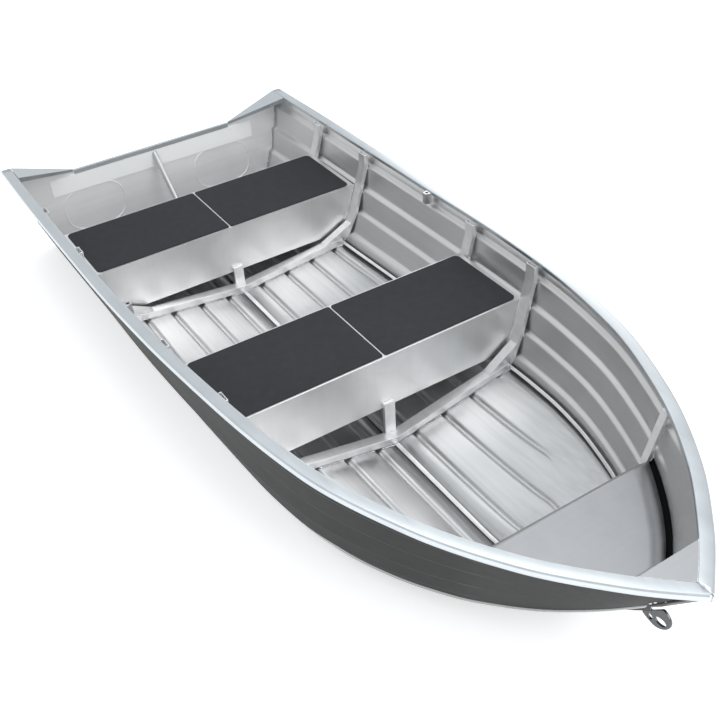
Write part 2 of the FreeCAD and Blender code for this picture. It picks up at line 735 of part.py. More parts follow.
def thwart(name):
    """Add a thwart with its pads, side frames, floor frame and gussets."""
    front = size(f"thwart_{name}_front")
    back = front - size("thwart_run")
    top = size(f"thwart_{name}_height")
    low_edge = top - size(f"thwart_{name}_depth")
    skin = size("thwart_wall")
    frame_width = size("frame_width")
    frame_wall = size("frame_wall")
    inboard = size("frame_gap") + size("frame_depth") + 2 * FIT
    front_aft = front + FIT
    front_mid = front_aft + frame_width / 2
    short_aft = back - size("frame_overlap")

    # Folded sheet: a deck with a deep face front and back, cut away at the lower corners
    cut_height = low_edge + size("corner_cut_rise")
    beside = frame_line(short_aft + frame_width / 2, cut_height, top, inboard)[-1][0]
    half_back = beside - size(f"thwart_{name}_back_gap")
    sloping = frame_line(front_mid, cut_height, top, inboard)
    half = sloping[-1][0] - size(f"thwart_{name}_front_gap")
    ends = [(min(y, half), z) for y, z in sloping]
    face = both_sides([(ends[0][0] - size(f"thwart_{name}_cut"), low_edge)] + ends)
    body = new_body(f"thwart_{name}")
    deck = [(back, half_back), (front, half), (front, -half), (back, -half_back)]
    padded(drawing(body, "deck", "XY_Plane", top - skin, [deck]), "Sizes.thwart_wall")
    padded(drawing(body, "front", "YZ_Plane", front - skin, [face]), "Sizes.thwart_wall")
    padded(drawing(body, "back", "YZ_Plane", back, [face]), "Sizes.thwart_wall")

    # Two pads side by side, with rounded corners
    margin = size("pad_margin")
    gap = size("pad_gap") / 2
    end = half - size(f"pad_{name}_end_margin")
    for side, sign in SIDES:
        body = new_body(f"pad_{name}_{side}")
        outline = rectangle(back + margin, front - margin, gap * sign, end * sign)
        block = padded(drawing(body, "outline", "XY_Plane", top + FIT, [outline]), "Sizes.pad_thickness")
        doc.recompute()
        upright = [f"Edge{index}" for index, edge in enumerate(block.Shape.Edges, start=1)
                   if edge.BoundBox.ZLength > FIT]
        rounded = body.newObject("PartDesign::Fillet", f"pad_{name}_{side}_corners")
        rounded.Base = (block, upright)
        rounded.setExpression("Radius", "Sizes.pad_corner")

    # Long frames at the front face, short ones at the back
    chine_top = chine_point(front / CHINE_END).z + size("chine_inner") + FIT
    channel_frame(f"frame_{name}_long", front_aft, chine_top, frame_top(front))
    channel_frame(f"frame_{name}_short", short_aft, top - size("short_frame_tail"), frame_top(back))

    # Floor frame: two arms of angle section with a centre post up to the front face
    rise = size("floor_frame_height")
    lift = (size("keel_wall") + size("seam_gap")) / math.cos(bottom_slope(front / CHINE_END)) + FIT
    slope = (floor_height(front, half) - floor_height(front, 0.0)) / half
    base = floor_height(front, 0.0) + lift
    arm_end = frame_line(front_mid, chine_top, top, inboard)[0][0]

    def arm_point(breadth, above):
        return (breadth, base + breadth * slope + above)

    arm_back = front_aft + size("floor_frame_set")
    inner_rise = rise - frame_wall
    past_end = arm_end + frame_wall
    outline = [arm_point(0, 0), arm_point(arm_end, 0), arm_point(arm_end, rise), arm_point(0, rise)]
    outline += [(-y, z) for y, z in outline[2:0:-1]]
    under = [arm_point(0, -rise), arm_point(past_end, -rise), arm_point(past_end, inner_rise),
             arm_point(0, inner_rise)]
    under += [(-y, z) for y, z in under[2:0:-1]]
    body = new_body(f"floor_frame_{name}")
    padded(drawing(body, "arms", "YZ_Plane", arm_back, [outline]), "Sizes.floor_frame_flange")
    pocketed(drawing(body, "under", "YZ_Plane", arm_back - frame_wall, [under]), "Sizes.floor_frame_flange")
    post_low = base + inner_rise
    post = [rectangle(front_aft + inset, front_aft + size("post_depth") - inset,
                      inset - size("post_width") / 2, size("post_width") / 2 - inset)
            for inset in (0.0, frame_wall)]
    padded(drawing(body, "post", "XY_Plane", post_low, post), low_edge + size("post_lap") - post_low)

    # Knee gusset in the corner of side frame and floor frame, with a flange on its long edge
    plate_back = front_aft + frame_width - frame_wall
    foot = arm_end - size("gusset_run")
    clear = inboard + FIT
    corner_low = arm_point(arm_end, rise + 2 * FIT)
    for step in range(SEATINGS):
        reach = frame_line(front_mid, corner_low[1], top, clear)[0][0]
        corner_low = arm_point(reach, rise + 2 * FIT)
    upright = frame_line(front_mid, corner_low[1], low_edge + size("gusset_rise"), clear)
    foot_point = arm_point(foot, rise + 2 * FIT)
    plate = prism([Vector(plate_back, y, z) for y, z in [foot_point] + upright], Vector(frame_wall, 0, 0))
    head = upright[-1]
    edge = math.hypot(head[0] - foot_point[0], head[1] - foot_point[1])
    inward = ((head[1] - foot_point[1]) / edge * frame_wall, -(head[0] - foot_point[0]) / edge * frame_wall)
    strip = [foot_point, head, (head[0] + inward[0], head[1] + inward[1]),
             (foot_point[0] + inward[0], foot_point[1] + inward[1])]
    flange_back = plate_back + frame_wall - size("gusset_flange")
    strip = prism([Vector(flange_back, y, z) for y, z in strip], Vector(size("gusset_flange"), 0, 0))
    strip = strip.common(prism([Vector(flange_back, y, z) for y, z in [foot_point] + upright],
                               Vector(size("gusset_flange"), 0, 0)))
    behind_face = Part.makeBox(LENGTH, LENGTH, LENGTH, Vector(front + FIT, 0, 0))
    pair(f"gusset_{name}", plate.fuse(strip).common(behind_face).removeSplitter())


for name in ("aft", "mid"):
    thwart(name)

# Diagonal brace from the transom to the keel
tube_radius = size("brace_diameter") / 2
brace_top = Vector(transom_x(doubler_top) + size("doubler_wall") + 2 * tube_radius, 0,
                   doubler_top - size("doubler_drop") / 2)
keel_top = keel_height(size("brace_foot") - 2 * tube_radius) + size("keel_wall")
brace_foot = Vector(size("brace_foot"), 0, keel_top + tube_radius)
run = brace_foot - brace_top
along = run.normalize()
start = HULL_SHIFT * Placement(brace_top - along * size("overrun"), Rotation(Vector(0, 0, 1), along))
floor = keel_top + size("seam_gap") + tube_radius * math.tan(bottom_slope(0.0)) + 2 * FIT
outline = [(transom_x(0.0) + size("doubler_wall") + 2 * FIT, floor),
           (size("brace_foot") + tube_radius, floor),
           (size("brace_foot") + tube_radius, doubler_top),
           (transom_x(doubler_top) + size("doubler_wall") + 2 * FIT, doubler_top)]
outside = doc.addObject("Part::Cylinder", "brace_outside")
outside.setExpression("Radius", "Sizes.brace_diameter / 2")
inside = doc.addObject("Part::Cylinder", "brace_inside")
inside.setExpression("Radius", "Sizes.brace_diameter / 2 - Sizes.brace_wall")
for cylinder in (outside, inside):
    cylinder.setExpression("Height", "Sizes.hull_length")
    cylinder.Placement = start
tube = doc.addObject("Part::Cut", "brace_tube")
tube.Base = outside
tube.Tool = inside
room = doc.addObject("Part::Feature", "brace_room")
room.Shape = prism([Vector(x, -LENGTH / 2, z) for x, z in outline], Vector(0, LENGTH, 0))
room.Placement = HULL_SHIFT
brace = doc.addObject("Part::Common", "transom_brace")
brace.Label = "transom_brace"
brace.Base = tube
brace.Tool = room
pieces.append(brace)

# Corner knees at the transom, sloping up to the gunwale corners, with a turned-down front edge
knee_side = inside_lip - 2 * FIT
knee_low = top_height + size("knee_lift")
knee_pitch = (SHEER_STERN - size("gunwale_wall") - knee_low) / (knee_side - half_top)
knee_aft = transom_x(top_height) - wall
knee_fore = transom_x(top_height) + 2 * FIT


def knee_point(place, breadth, drop):
    """Return a point on the sloping knee plate, or dropped below it."""
    return Vector(place, breadth, knee_low + (breadth - half_top) * knee_pitch - drop)


knee = prism([knee_point(knee_aft, half_top + FIT, 0), knee_point(knee_fore, half_top + FIT, 0),
              knee_point(size("knee_reach"), knee_side, 0), knee_point(FIT, knee_side, 0)],
             Vector(0, 0, wall))
edge_strip = prism([knee_point(knee_fore, half_top + FIT, -wall),
                    knee_point(size("knee_reach"), knee_side, -wall),
                    knee_point(size("knee_reach"), knee_side, size("knee_flange")),
                    knee_point(knee_fore, half_top + FIT, size("knee_flange") / 2)],
                   Vector(-wall, 0, 0))
forward = Part.makeBox(LENGTH, LENGTH, LENGTH, Vector(transom_x(knee_low - size("knee_flange")) + FIT, 0, 0))
pair("corner_knee", knee.fuse(edge_strip.common(forward)).removeSplitter())

# Lifting handles outside the transom top
grip_radius = size("handle_diameter") / 2
handle_y = half_top - size("handle_inset")
handle_half = size("handle_span") / 2
handle_z = cap_low - grip_radius - 2 * FIT
root = transom_x(handle_z + grip_radius) - wall - 3 * FIT
bend = size("handle_bend")
far = root - size("handle_reach")
path = Part.makePolygon([
    Vector(root, handle_y - handle_half, handle_z), Vector(far + bend, handle_y - handle_half, handle_z),
    Vector(far, handle_y - handle_half + bend, handle_z), Vector(far, handle_y + handle_half - bend, handle_z),
    Vector(far + bend, handle_y + handle_half, handle_z), Vector(root, handle_y + handle_half, handle_z)])
ring = Part.Wire(Part.makeCircle(grip_radius, Vector(root, handle_y - handle_half, handle_z), Vector(1, 0, 0)))
pair("handle", path.makePipeShell([ring], True, False, 1))

# Rowlock blocks inside the gunwale, tapered inboard round their bores
station = size("rowlock_station")
share = station / LENGTH
rail_edge = sheer_point(share).y - size("gunwale_width") - 2 * FIT
rowlock_low = sheer_point(share).z - size("rowlock_drop") - size("rowlock_length")
root_half = size("rowlock_root") / 2
nose_half = size("rowlock_nose") / 2
nose_edge = rail_edge - size("rowlock_depth")
bore_edge = rail_edge - size("rowlock_depth") / 2
for side, sign in SIDES:
    body = new_body(f"rowlock_block_{side}")
    outline = [(station - root_half, rail_edge * sign), (station + root_half, rail_edge * sign),
               (station + nose_half, nose_edge * sign), (station - nose_half, nose_edge * sign)]
    padded(drawing(body, "outline", "XY_Plane", rowlock_low, [outline]), "Sizes.rowlock_length")
    bore = [((station, bore_edge * sign), "rowlock_bore")]
    pocketed(drawing(body, "bore", "XY_Plane", rowlock_low, holes=bore), "Sizes.rowlock_length")


def bow_side(place, height):
    """Return the half breadth of the side's inner face near the bow at a place and height."""
    low_share = 0.5
    high_share = 1.0
    for step in range(HALVINGS):
        share = (low_share + high_share) / 2
        line, low_end, top_end = section_line(share)
        part = (height - low_end.z) / (top_end.z - low_end.z)
        if low_end.x + (top_end.x - low_end.x) * part < place:
            low_share = share
        else:
            high_share = share
    for (ya, za), (yb, zb) in zip(line, line[1:]):
        if za <= height <= zb:
            return ya + (yb - ya) * (height - za) / (zb - za)
    return line[0][0]


# Bow plate: its side margins slope down to the hull and its back edge is turned down
plate_z = SHEER_BOW - size("bow_plate_drop")
plate_aft = LENGTH - size("bow_plate_setback")
plate_low = plate_z - size("bow_plate_turn")


def bow_plate_edges(place):
    """Return a place along the length with the half breadths of the plate's crease and edge there."""
    edge = bow_side(place, plate_low) - size("bow_plate_gap")
    return place, edge - size("bow_plate_margin"), edge


depth = size("bow_plate_flange")
down = Vector(0, 0, -wall)
edges = [bow_plate_edges(plate_aft + size("bow_plate_run") * share) for share in BOW_PLATE_SHARES]
deck = [Vector(x, crease, plate_z) for x, crease, edge in edges]
plate = prism(deck + [Vector(p.x, -p.y, p.z) for p in deck[::-1]], down)
for (xa, crease_a, edge_a), (xb, crease_b, edge_b) in zip(edges, edges[1:]):
    strip = prism([Vector(xa, crease_a, plate_z), Vector(xb, crease_b, plate_z),
                   Vector(xb, edge_b, plate_low), Vector(xa, edge_a, plate_low)], down)
    plate = plate.fuse([strip, mirrored(strip)])
turned = edges[0][1]
turned_edge = Part.makeBox(wall, 2 * turned, depth, Vector(plate_aft, -turned, plate_z - depth))
piece("bow_plate", plate.fuse(turned_edge).removeSplitter())

# Bow frames from the plate's back corners up to the gunwale
bow_low = plate_z - depth
bow_high = frame_top(plate_aft)
bow_width = size("frame_width") / 2
bow_back = [(bow_side(plate_aft, z) - size("bow_frame_gap"), z) for z in (bow_low, bow_high)]
bow_points = [(y - size("frame_depth"), z) for y, z in bow_back] + bow_back[::-1]
for side, sign in SIDES:
    outline = [(y * sign, z) for y, z in bow_points]
    body = new_body(f"bow_frame_{side}")
    padded(drawing(body, "outline", "YZ_Plane", plate_aft - bow_width - FIT, [outline]), "Sizes.frame_width / 2")

# Breast plate between the gunwales at the bow
breast_inset = size("gunwale_width") + 2 * FIT
breast_port = [rail_point(share, breast_inset, wall) for share in BREAST_SHARES]
breast_port[2] = breast_port[1] + (breast_port[2] - breast_port[1]) * BREAST_FRONT_SHARE
breast = [(p.x, p.y) for p in breast_port] + [(p.x, -p.y) for p in breast_port[::-1]]
padded(drawing(new_body("breast_plate"), "outline", "XY_Plane", breast_port[0].z, [breast]), "Sizes.plate")

# Bow eye, a fin on the centreline below the stem, with a large and a small hole
eye_low = SHEER_BOW - size("bow_eye_drop")
eye_high = eye_low + size("bow_eye_root")


def keel_face(height):
    """Return where the keel's outer face reaches a height on the centreline."""
    return stem_place(height + size("keel_depth")) + 2 * FIT


hole_high = eye_low + size("bow_eye_rise")
hole_fore = keel_face(hole_high) + size("bow_eye_reach")
eye_round = size("bow_eye_end") / 2
heights = [eye_low + (eye_high - eye_low) * share for share in EYE_SHARES]
profile = [(keel_face(z), z) for z in heights]
profile += [(hole_fore, hole_high - eye_round), (hole_fore + eye_round, hole_high)]
body = new_body("bow_eye")
padded(drawing(body, "fin", "XZ_Plane", 0.0, [profile]), "Sizes.bow_eye_wall", midplane=True)
padded(drawing(body, "round", "XZ_Plane", 0.0, holes=[((hole_fore, hole_high), "bow_eye_end")]),
       "Sizes.bow_eye_wall", midplane=True)
pin = (hole_fore - size("bow_eye_hole_pitch"), hole_high - size("bow_eye_hole_drop"))
pocketed(drawing(body, "bores", "XZ_Plane", 0.0,
                 holes=[((hole_fore, hole_high), "bow_eye_bore"), (pin, "bow_eye_pin_bore")]),
         "Sizes.bow_eye_wall", midplane=True)

doc.recompute()
for item in doc.Objects:
    if {"Invalid", "Error"} & set(item.State):
        raise RuntimeError(f"{item.Label} did not build: {item.State}")
for body in pieces:
    if body.Shape.isNull() or not body.Shape.isValid():
        raise RuntimeError(f"{body.Label} has no valid shape")
for body in pieces:
    body.Shape.exportStep(f"parts/{body.Label}.step")
    box = body.Shape.BoundBox
    print(body.Label, len(body.Shape.Solids), round(body.Shape.Volume / 1000), "cm3",
          [round(v, 1) for v in (box.XMin, box.XMax, box.YMin, box.YMax, box.ZMin, box.ZMax)])
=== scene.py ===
"""Finishes, fine pieces, light and camera for an open rowing boat of pressed aluminium sheet.

The boat's lines are drawn again here from the hull's own few sizes, so that pressed ledges and
grooves get their rounded bends.  Lines are worked out in metres from the stern corners of the
gunwale, X forward, Y to port, Z up, and shifted to the frame where the waterline is at zero.
"""
import logging
import math
from collections.abc import Callable, Iterable
from dataclasses import dataclass
from enum import Enum

import bmesh
import bpy
from mathutils import Matrix, Vector


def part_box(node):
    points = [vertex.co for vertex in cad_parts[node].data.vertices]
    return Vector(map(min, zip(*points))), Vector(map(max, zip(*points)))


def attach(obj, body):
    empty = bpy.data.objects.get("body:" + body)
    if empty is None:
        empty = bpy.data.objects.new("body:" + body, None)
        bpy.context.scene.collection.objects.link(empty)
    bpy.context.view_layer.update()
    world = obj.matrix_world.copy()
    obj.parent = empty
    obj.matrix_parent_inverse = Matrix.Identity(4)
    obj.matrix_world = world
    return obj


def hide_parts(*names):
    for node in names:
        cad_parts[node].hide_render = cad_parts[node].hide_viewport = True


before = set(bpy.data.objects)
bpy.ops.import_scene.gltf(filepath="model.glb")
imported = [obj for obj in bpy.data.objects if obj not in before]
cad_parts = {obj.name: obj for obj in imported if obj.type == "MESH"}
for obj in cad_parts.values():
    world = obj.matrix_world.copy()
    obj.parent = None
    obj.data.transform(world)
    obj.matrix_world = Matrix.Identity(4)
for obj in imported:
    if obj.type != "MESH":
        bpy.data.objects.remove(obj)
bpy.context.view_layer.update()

LOG = logging.getLogger("boat")
BODY = "root"
EFFECT_VALUES = ("brushing", "clouds", "cloud_fineness", "roughness", "roughness_spread",
                 "brush_height", "dent_height")
BISECTIONS = 30
BEND_REACH = 0.45
STATION_CROWDING = 1.35
SHARP_DEG = 28.0
FLAT_DEG = 0.6
MERGE_DISTANCE = 0.00002

Row = tuple[float, ...]
Point = tuple[float, float, float]
Line = list[tuple[float, float]]
Path = list[Vector]
Operand = float | bpy.types.NodeSocket


class Side(Enum):
    """The two sides of the boat, as the sign of their breadth."""

    PORT = 1
    STARBOARD = -1

    @property
    def word(self) -> str:
        """Return the side's name as the frame's nodes spell it."""
        return self.name.lower()


class Lay(Enum):
    """The way that a metal's brushing runs, as how fine its noise is along X, Y and Z."""

    ALONG = (0.9, 60.0, 60.0)
    ACROSS = (60.0, 0.9, 60.0)
    UPRIGHT = (60.0, 60.0, 0.9)
    EVEN = (30.0, 30.0, 30.0)


def add_node(tree: bpy.types.NodeTree, kind: str, inputs: dict[str | int, object] | None = None,
             **settings: object) -> bpy.types.Node:
    """Add a node to a tree, set it and fill its inputs.

    Args:
        tree: The tree that gets the node.
        kind: The node's type name.
        inputs: Values, or sockets to link from, by input name or number.
        settings: The node's own properties.

    Returns:
        The new node.
    """
    made = tree.nodes.new(kind)
    for key, value in settings.items():
        setattr(made, key, value)
    for key, value in (inputs or {}).items():
        if isinstance(value, bpy.types.NodeSocket):
            tree.links.new(value, made.inputs[key])
        else:
            made.inputs[key].default_value = value
    return made


def result(tree: bpy.types.NodeTree, kind: str, inputs: dict[str | int, object] | None = None,
           **settings: object) -> bpy.types.NodeSocket:
    """Add a node to a tree as add_node does, and return its first output."""
    return add_node(tree, kind, inputs, **settings).outputs[0]


def reckoned(tree: bpy.types.NodeTree, operation: str, first: Operand,
             second: Operand) -> bpy.types.NodeSocket:
    """Return the result of a Math node on two values or sockets."""
    return result(tree, "ShaderNodeMath", {0: first, 1: second}, operation=operation)


def label(name: str) -> str:
    """Return the socket's name for a value of a finish."""
    return name.replace("_", " ").title()


def worked_metal_group() -> bpy.types.NodeTree:
    """Return the shared effect of worked sheet: brushing, cloudy tone and soft dents.

    Returns:
        A shader group with the varying colour, roughness and height of a surface.
    """
    known = bpy.data.node_groups.get("worked_metal")
    if known:
        return known
    tree = bpy.data.node_groups.new("worked_metal", "ShaderNodeTree")
    taken = [("Colour", "Color"), ("Lay", "Vector")]
    taken += [(label(name), "Float") for name in EFFECT_VALUES]
    given_out = [("Colour", "Color"), ("Roughness", "Float"), ("Height", "Float")]
    for in_out, sockets in (("INPUT", taken), ("OUTPUT", given_out)):
        for name, kind in sockets:
            tree.interface.new_socket(name, in_out=in_out, socket_type=f"NodeSocket{kind}")
    given = add_node(tree, "NodeGroupInput").outputs
    place = add_node(tree, "ShaderNodeTexCoord").outputs["Object"]
    laid = result(tree, "ShaderNodeVectorMath", {0: place, 1: given["Lay"]},
                  operation="MULTIPLY")
    streak = result(tree, "ShaderNodeTexNoise", {"Vector": laid, "Scale": 1.0, "Detail": 4.0})
    cloud = result(tree, "ShaderNodeTexNoise",
                   {"Vector": place, "Scale": given["Cloud Fineness"], "Detail": 2.0})
    streak_off, cloud_off = (reckoned(tree, "SUBTRACT", noise, 0.5) for noise in (streak, cloud))
    brushed = reckoned(tree, "MULTIPLY", streak_off, given["Brushing"])
    clouded = reckoned(tree, "MULTIPLY", cloud_off, given["Clouds"])
    tone = reckoned(tree, "ADD", reckoned(tree, "ADD", brushed, clouded), 1.0)
    colour = result(tree, "ShaderNodeVectorMath", {0: given["Colour"], "Scale": tone},
                    operation="SCALE")
    both = reckoned(tree, "ADD", streak_off, cloud_off)
    spread = reckoned(tree, "MULTIPLY", both, given["Roughness Spread"])
    rough = reckoned(tree, "ADD", given["Roughness"], spread)
    brush, dent = (reckoned(tree, "MULTIPLY", noise, given[name])
                   for noise, name in ((streak, "Brush Height"), (cloud, "Dent Height")))
    height = reckoned(tree, "ADD", brush, dent)
    add_node(tree, "NodeGroupOutput", {"Colour": colour, "Roughness": rough, "Height": height})
    return tree


@dataclass(frozen=True)
class Finish:
    """One finish of the boat: bare, brushed or dark metal, or rubber."""

    name: str
    colour: Point
    roughness: float
    metallic: float = 1.0
    lay: Lay = Lay.ALONG
    brushing: float = 0.12
    clouds: float = 0.12
    cloud_fineness: float = 3.0
    roughness_spread: float = 0.12
    brush_height: float = 0.00003
    dent_height: float = 0.0012
    specular: float = 0.5

    def material(self) -> bpy.types.Material:
        """Return this finish as a material, made once.

        Returns:
            The Blender material.
        """
        known = bpy.data.materials.get(self.name)
        if known:
            return known
        made = bpy.data.materials.new(self.name)
        made.use_nodes = True
        tree = made.node_tree
        shader = tree.nodes["Principled BSDF"].inputs
        shader["Metallic"].default_value = self.metallic
        shader["Specular IOR Level"].default_value = self.specular
        values = {label(name): getattr(self, name) for name in EFFECT_VALUES}
        values |= {"Colour": (*self.colour, 1.0), "Lay": self.lay.value}
        effect = add_node(tree, "ShaderNodeGroup", values, node_tree=worked_metal_group()).outputs
        bump = result(tree, "ShaderNodeBump", {"Height": effect["Height"], "Distance": 1.0})
        for name, source in (("Base Color", effect["Colour"]), ("Roughness", effect["Roughness"]),
                             ("Normal", bump)):
            tree.links.new(source, shader[name])
        return made


INSIDE_SHEET = Finish("inside_sheet", (0.70, 0.70, 0.70), 0.40, brushing=0.14, clouds=0.2)
TRANSOM_SHEET = Finish("transom_sheet", (0.90, 0.90, 0.905), 0.45, metallic=0.5, lay=Lay.ACROSS,
                       brushing=0.1, clouds=0.3)
DOUBLER_SHEET = Finish("doubler_sheet", (0.98, 0.985, 0.985), 0.45, metallic=0.15,
                       lay=Lay.ACROSS, brushing=0.06)
BOTTOM_SHEET = Finish("bottom_sheet", (0.64, 0.64, 0.645), 0.32, brushing=0.3, clouds=0.22,
                      dent_height=0.004)
# Near-black outside of the hull sheets and transom: painted shade for the hull's shaded outside.
OUTSIDE_PAINTED_SHADE = Finish("outside_sheet", (0.022, 0.022, 0.022), 0.55, metallic=0.3,
                       brushing=0.2, specular=0.35)
FOLDED_SHEET = Finish("folded_sheet", (0.84, 0.84, 0.84), 0.36, lay=Lay.UPRIGHT, brushing=0.07,
                      clouds=0.34, cloud_fineness=4.0, dent_height=0.005)
DECK_SHEET = Finish("deck_sheet", (0.40, 0.403, 0.415), 0.45, lay=Lay.ACROSS, clouds=0.16,
                    cloud_fineness=14.0, dent_height=0.0008)
BREAST_SHEET = Finish("breast_sheet_metal", (0.46, 0.465, 0.475), 0.45, lay=Lay.ACROSS,
                      clouds=0.1)
# The slight blue of the rail's colour is painted reflection of the blue-tinted sky.
RAIL = Finish("gunwale_rail", (0.62, 0.657, 0.68), 0.34, brushing=0.1, clouds=0.14,
              cloud_fineness=9.0, dent_height=0.0003)
FRAME_METAL = Finish("frame_metal", (0.84, 0.84, 0.845), 0.34, metallic=0.6, lay=Lay.EVEN,
                     brushing=0.3, dent_height=0.0006)
CAST_METAL = Finish("cast_metal", (0.62, 0.62, 0.62), 0.22, lay=Lay.EVEN, dent_height=0.0003)
WELD_METAL = Finish("weld_metal", (0.88, 0.89, 0.90), 0.26, lay=Lay.EVEN, brushing=0.3,
                    dent_height=0.0)
TUBE_METAL = Finish("tube_metal", (0.50, 0.505, 0.51), 0.34, lay=Lay.EVEN)
LIP_METAL = Finish("lip_metal", (0.50, 0.51, 0.51), 0.3)
STEM_METAL = Finish("stem_metal", (0.07, 0.07, 0.07), 0.4, metallic=0.8)
# The bow eye's dark tone is partly its own dark casting and partly painted shade under the bow.
EYE_METAL = Finish("eye_metal", (0.13, 0.135, 0.14), 0.22, lay=Lay.EVEN, dent_height=0.0003)
PAD_RUBBER = Finish("pad_rubber", (0.040, 0.041, 0.046), 0.9, metallic=0.0, lay=Lay.EVEN,
                    brushing=0.35, clouds=0.25, brush_height=0.0003, dent_height=0.0002,
                    specular=0.15)
# Near-black finish of the strips in the bow plate's side slots: painted shade where the slots hold
# only shadow.
SHADE_STRIP_BLACK = Finish("seal_rubber", (0.004, 0.005, 0.006), 0.9, metallic=0.0, lay=Lay.EVEN,
                     specular=0.05)


def spaced(low: float, high: float, count: int) -> list[float]:
    """Return values from low to high in a number of even steps."""
    return [low + (high - low) * step / count for step in range(count + 1)]


def turned(count: int) -> list[float]:
    """Return the angles of a full turn, in a number of even steps."""
    return [2 * math.pi * step / count for step in range(count)]


def clamped(value: float) -> float:
    """Return a value held between 0 and 1."""
    return min(1.0, max(0.0, value))


def bisected(reach: Callable[[float], float], place: float) -> float:
    """Find where a rising line reaches a place.

    Args:
        reach: Gives the line's place at a share.
        place: The place that is looked for.

    Returns:
        The share, from 0 to 1.
    """
    low, high, share = 0.0, 1.0, 0.5
    for _ in range(BISECTIONS):
        share = (low + high) / 2
        if reach(share) < place:
            low = share
        else:
            high = share
    return share


def crossings(line: Line, height: float) -> list[float]:
    """Return each breadth at which a line of (y, z) points rises through a height."""
    return [ya + (yb - ya) * (height - za) / (zb - za)
            for (ya, za), (yb, zb) in zip(line, line[1:]) if za <= height <= zb]


def smooth_line(places: Row, values: Row, place: float) -> float:
    """Return the value at a place of a line that runs smoothly through points.

    Args:
        places: Where the points lie, rising.
        values: The values at the points, which the line doesn't overshoot.
        place: Where the line is read.

    Returns:
        The line's value.
    """
    steps = [b - a for a, b in zip(places, places[1:])]
    slopes = [(b - a) / step for a, b, step in zip(values, values[1:], steps)]
    middle = [0.0 if a * b <= 0 else 2 * a * b / (a + b) for a, b in zip(slopes, slopes[1:])]
    ends = [slopes[0]] + middle + [slopes[-1]]
    index = max(i for i in range(len(steps)) if places[i] <= place or i == 0)
    step = steps[index]
    part = (place - places[index]) / step
    rise = (values[index + 1] - values[index]) * part * part * (3 - 2 * part)
    start = ends[index] * step * part * (1 - part) ** 2
    finish = ends[index + 1] * step * part * part * (part - 1)
    return values[index] + rise + start + finish


def offset_line(points: Line, distance: float) -> Line:
    """Set an open line of (y, z) points off to its right.

    Args:
        points: The line's points.
        distance: How far it is set off.

    Returns:
        The moved points.
    """
    normals = []
    for (ya, za), (yb, zb) in zip(points, points[1:]):
        span = math.hypot(yb - ya, zb - za)
        normals.append(((zb - za) / span, -(yb - ya) / span))
    moved = []
    for index, (y, z) in enumerate(points):
        before = normals[max(index - 1, 0)]
        after = normals[min(index, len(normals) - 1)]
        across = 1 + before[0] * after[0] + before[1] * after[1]
        moved.append((y + distance * (before[0] + after[0]) / across,
                      z + distance * (before[1] + after[1]) / across))
    return moved


def rounded(points: Line, radius: float, steps: int = 4, ring: bool = False) -> Line:
    """Turn each inner corner of a line into a small bend.

    Args:
        points: The line's (y, z) points.
        radius: How far from a corner its bend starts.
        steps: How many pieces a bend has.
        ring: Whether the line is closed.

    Returns:
        The bent line, always with the same number of points for the same number of corners.
    """
    count = len(points)
    line = []
    for index in range(count):
        here = Vector(points[index])
        if not ring and index in (0, count - 1):
            line.append(tuple(here))
            continue
        before = Vector(points[index - 1]) - here
        after = Vector(points[(index + 1) % count]) - here
        back = before.normalized() * min(radius, before.length * BEND_REACH)
        fore = after.normalized() * min(radius, after.length * BEND_REACH)
        for part in spaced(0.0, 1.0, steps):
            line.append(tuple(here + back * (1 - part) ** 2 + fore * part ** 2))
    return line


